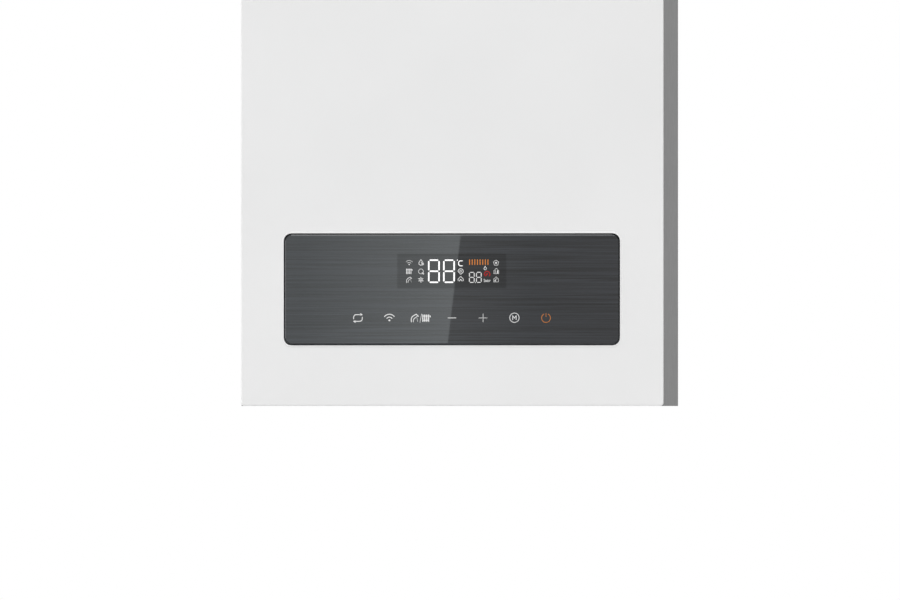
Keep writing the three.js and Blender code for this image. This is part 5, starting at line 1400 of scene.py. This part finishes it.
def floor_paint():
    """Near-white floor that keeps the shadow, meets the white background and hides nothing."""
    made = Finish("studio_floor", Specular_Ior_Level=0.0, Emission_Color=(1, 1, 1, 1))
    made.colour(made.mixed(made.noise(0.5, 2), (0.88, 0.88, 0.88), (0.9, 0.9, 0.9)))
    made.rough(made.noise(0.2, 2), 0.85, 0.95)
    rays, glow = made.node("ShaderNodeLightPath"), made.node("ShaderNodeMath", operation="MULTIPLY")
    made.link(rays.outputs["Is Camera Ray"], glow.inputs[0])
    glow.inputs[1].default_value = settings("boiler_stage").floor_glow
    made.link(glow.outputs[0], made.shader.inputs["Emission Strength"])
    reach = made.node("ShaderNodeVectorMath", operation="LENGTH")
    made.link(made.place, reach.inputs[0])
    below = made.node("ShaderNodeNewGeometry")
    alpha = made.node("ShaderNodeMath", operation="SUBTRACT", use_clamp=True)
    made.link(made.span(reach.outputs["Value"], 1, 0, FLOOR_FADE), alpha.inputs[0])
    made.link(below.outputs["Backfacing"], alpha.inputs[1])
    made.link(alpha.outputs[0], made.shader.inputs["Alpha"])
    return made.material


def mirrored_card(name, corners, tint, first, second, ends):
    """A card that only mirrored rays see, lit from one level to another across the stage."""
    made = Finish(name, Emission_Color=(*tint, 1), Base_Color=(0, 0, 0, 1), Specular_Ior_Level=0.0)
    parts = made.node("ShaderNodeSeparateXYZ")
    made.link(made.place, parts.inputs[0])
    level = made.span(parts.outputs[0], first, second, ends)
    made.link(level, made.shader.inputs["Emission Strength"])
    bm = bmesh.new()
    bm.faces.new([bm.verts.new(corner) for corner in corners])
    card = stage_piece(name, mesh_from(bm, name), made.material)
    for kind in ("camera", "diffuse", "transmission", "volume_scatter", "shadow"):
        setattr(card, "visible_" + kind, False)


class BOILER_OT_stage(bpy.types.Operator):
    """Set up the camera, the lamps, the floor and the cards that the glass mirrors"""

    bl_idname = "boiler.stage"
    bl_label = "Stage"

    def execute(self, context):
        look = settings("boiler_stage")
        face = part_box("front_cover")[0].y
        target = Vector((AIM_X * MM, face, CASE_LOW + AIM_Z * MM))
        away = Vector((math.sin(look.camera_turn), -math.cos(look.camera_turn), 0))
        eye = target + away * look.camera_distance
        eye.z = CASE_LOW
        data = bpy.data.cameras.new("camera")
        data.sensor_width, data.lens = 36.0, look.focal_length
        data.clip_start, data.clip_end = 0.5, 60.0
        camera = bpy.data.objects.new("camera", data)
        context.scene.collection.objects.link(camera)
        camera.location = eye
        camera.rotation_euler = (target - eye).to_track_quat("-Z", "Y").to_euler()
        context.scene.camera = camera
        context.scene.view_settings.view_transform = "Standard"

        white_world(look.sky_level)
        middle = Vector((0, face / 2, CASE_LOW + 0.3))
        for name, place, width, height in LAMPS:
            lamp(name + "_box", middle + Vector(place), middle, width, height,
                 getattr(look, name + "_power"))

        ground = bmesh.new()
        add_turned(ground, [(radius, 0) for radius in FLOOR_RINGS], "z", Vector(), 64)
        mesh = mesh_from(ground, "floor")
        if mesh.polygons[0].normal.z < 0:
            mesh.flip_normals()
        stage_piece("floor", mesh, floor_paint()).location.z = CASE_LOW - look.floor_drop
        self.glare_cards(eye, look)
        half = 0.5 * Vector((PANEL_WIDTH, 0, PANEL_HEIGHT))
        self.edge_card("left_edge_card", -half.x, 0, Vector((-1, 0, 0)), eye, look, (3.2, 3.2))
        self.edge_card("upper_edge_card", 0, half.z, Vector((0, 0, 1)), eye, look, (6.2, 4.8))
        return {"FINISHED"}

    def glare_cards(self, eye, look):
        """Two slanted cards placed where the glass mirrors them."""
        def mirrored(u, v):
            place = Vector((PANEL_X + u * MM, GLASS_FACE, PANEL_Z + v * MM))
            ray = place - eye
            ray.y = -ray.y
            return place + ray * (look.glare_distance / -ray.y)

        (low_u, low_v), (high_u, high_v) = GLARE_LINE
        slope = (high_u - low_u) / (high_v - low_v)
        line = [(low_u + slope * (v - low_v), v) for v in (CARD_LOW, CARD_HIGH)]
        level = look.glare_level
        for name, tint, side, first, second, ends in (
            ("glare_card", (0.94, 0.99, 1.0), -300, 0.6 * level, level, (-150, 0)),
            ("glare_fade", (0.985, 1.0, 1.0), 100, 0.46 * level, 1.0, (0, 80)),
        ):
            corners = [(side, CARD_LOW), *line, (side, CARD_HIGH)]
            mirrored_card(name, [mirrored(u, v) for u, v in corners], tint, first, second,
                          [mirrored(u, CARD_MIDDLE)[0] for u in ends])

    def edge_card(self, name, u, v, side, eye, look, levels):
        """A narrow bright card that one ground edge of the glass mirrors."""
        tilt = math.atan(EDGE_SLOPE)
        normal = Vector((0, -math.cos(tilt), 0)) + side * math.sin(tilt)
        edge = Vector((PANEL_X + u, GLASS_FACE, PANEL_Z + PANEL_HEIGHT / 2 + v))
        heading = (edge - eye).normalized().reflect(normal)
        along = Vector((side.z, 0, abs(side.x)))
        across = along.cross(heading).normalized()
        centre = edge + heading * look.edge_card_distance
        corners = [centre + along * a + across * b
                   for a, b in rectangle(EDGE_CARD_REACH, EDGE_CARD_HALF)]
        ends = (centre.x - EDGE_CARD_HALF, centre.x + EDGE_CARD_HALF)
        mirrored_card(name, corners, (1, 1, 1), *levels, ends)


# ---- Panel ----
class BOILER_PT_panel(bpy.types.Panel):
    """Lists the building steps in the sidebar"""

    bl_idname = "BOILER_PT_panel"
    bl_label = "Combi Boiler"
    bl_space_type = "VIEW_3D"
    bl_region_type = "UI"
    bl_category = "Boiler"

    def draw(self, context):
        for group in SETTINGS:
            box = self.layout.box()
            box.label(text=group.replace("boiler_", "").title())
            for name in getattr(context.scene, group).__annotations__:
                box.prop(getattr(context.scene, group), name)
        for step in STEPS:
            self.layout.operator(step.bl_idname)


STEPS = (
    BOILER_OT_stage,
    BOILER_OT_enamel,
    BOILER_OT_touch_glass,
    BOILER_OT_display,
    BOILER_OT_touch_keys,
    BOILER_OT_sheet_metal,
    BOILER_OT_seals,
    BOILER_OT_control_box,
    BOILER_OT_burner,
    BOILER_OT_fan,
    BOILER_OT_flue,
    BOILER_OT_vessel,
    BOILER_OT_pipes,
    BOILER_OT_water_blocks,
    BOILER_OT_pump,
    BOILER_OT_valves,
    BOILER_OT_wiring,
)


def register():
    for made in (*SETTINGS.values(), *STEPS, BOILER_PT_panel):
        bpy.utils.register_class(made)
    for name, group in SETTINGS.items():
        setattr(bpy.types.Scene, name, PointerProperty(type=group))


def unregister():
    for name in SETTINGS:
        delattr(bpy.types.Scene, name)
    for made in reversed((*SETTINGS.values(), *STEPS, BOILER_PT_panel)):
        bpy.utils.unregister_class(made)


def main():
    register()
    for step in STEPS:
        group, name = step.bl_idname.split(".")
        getattr(getattr(bpy.ops, group), name)()


if __name__ == "__main__":
    main()
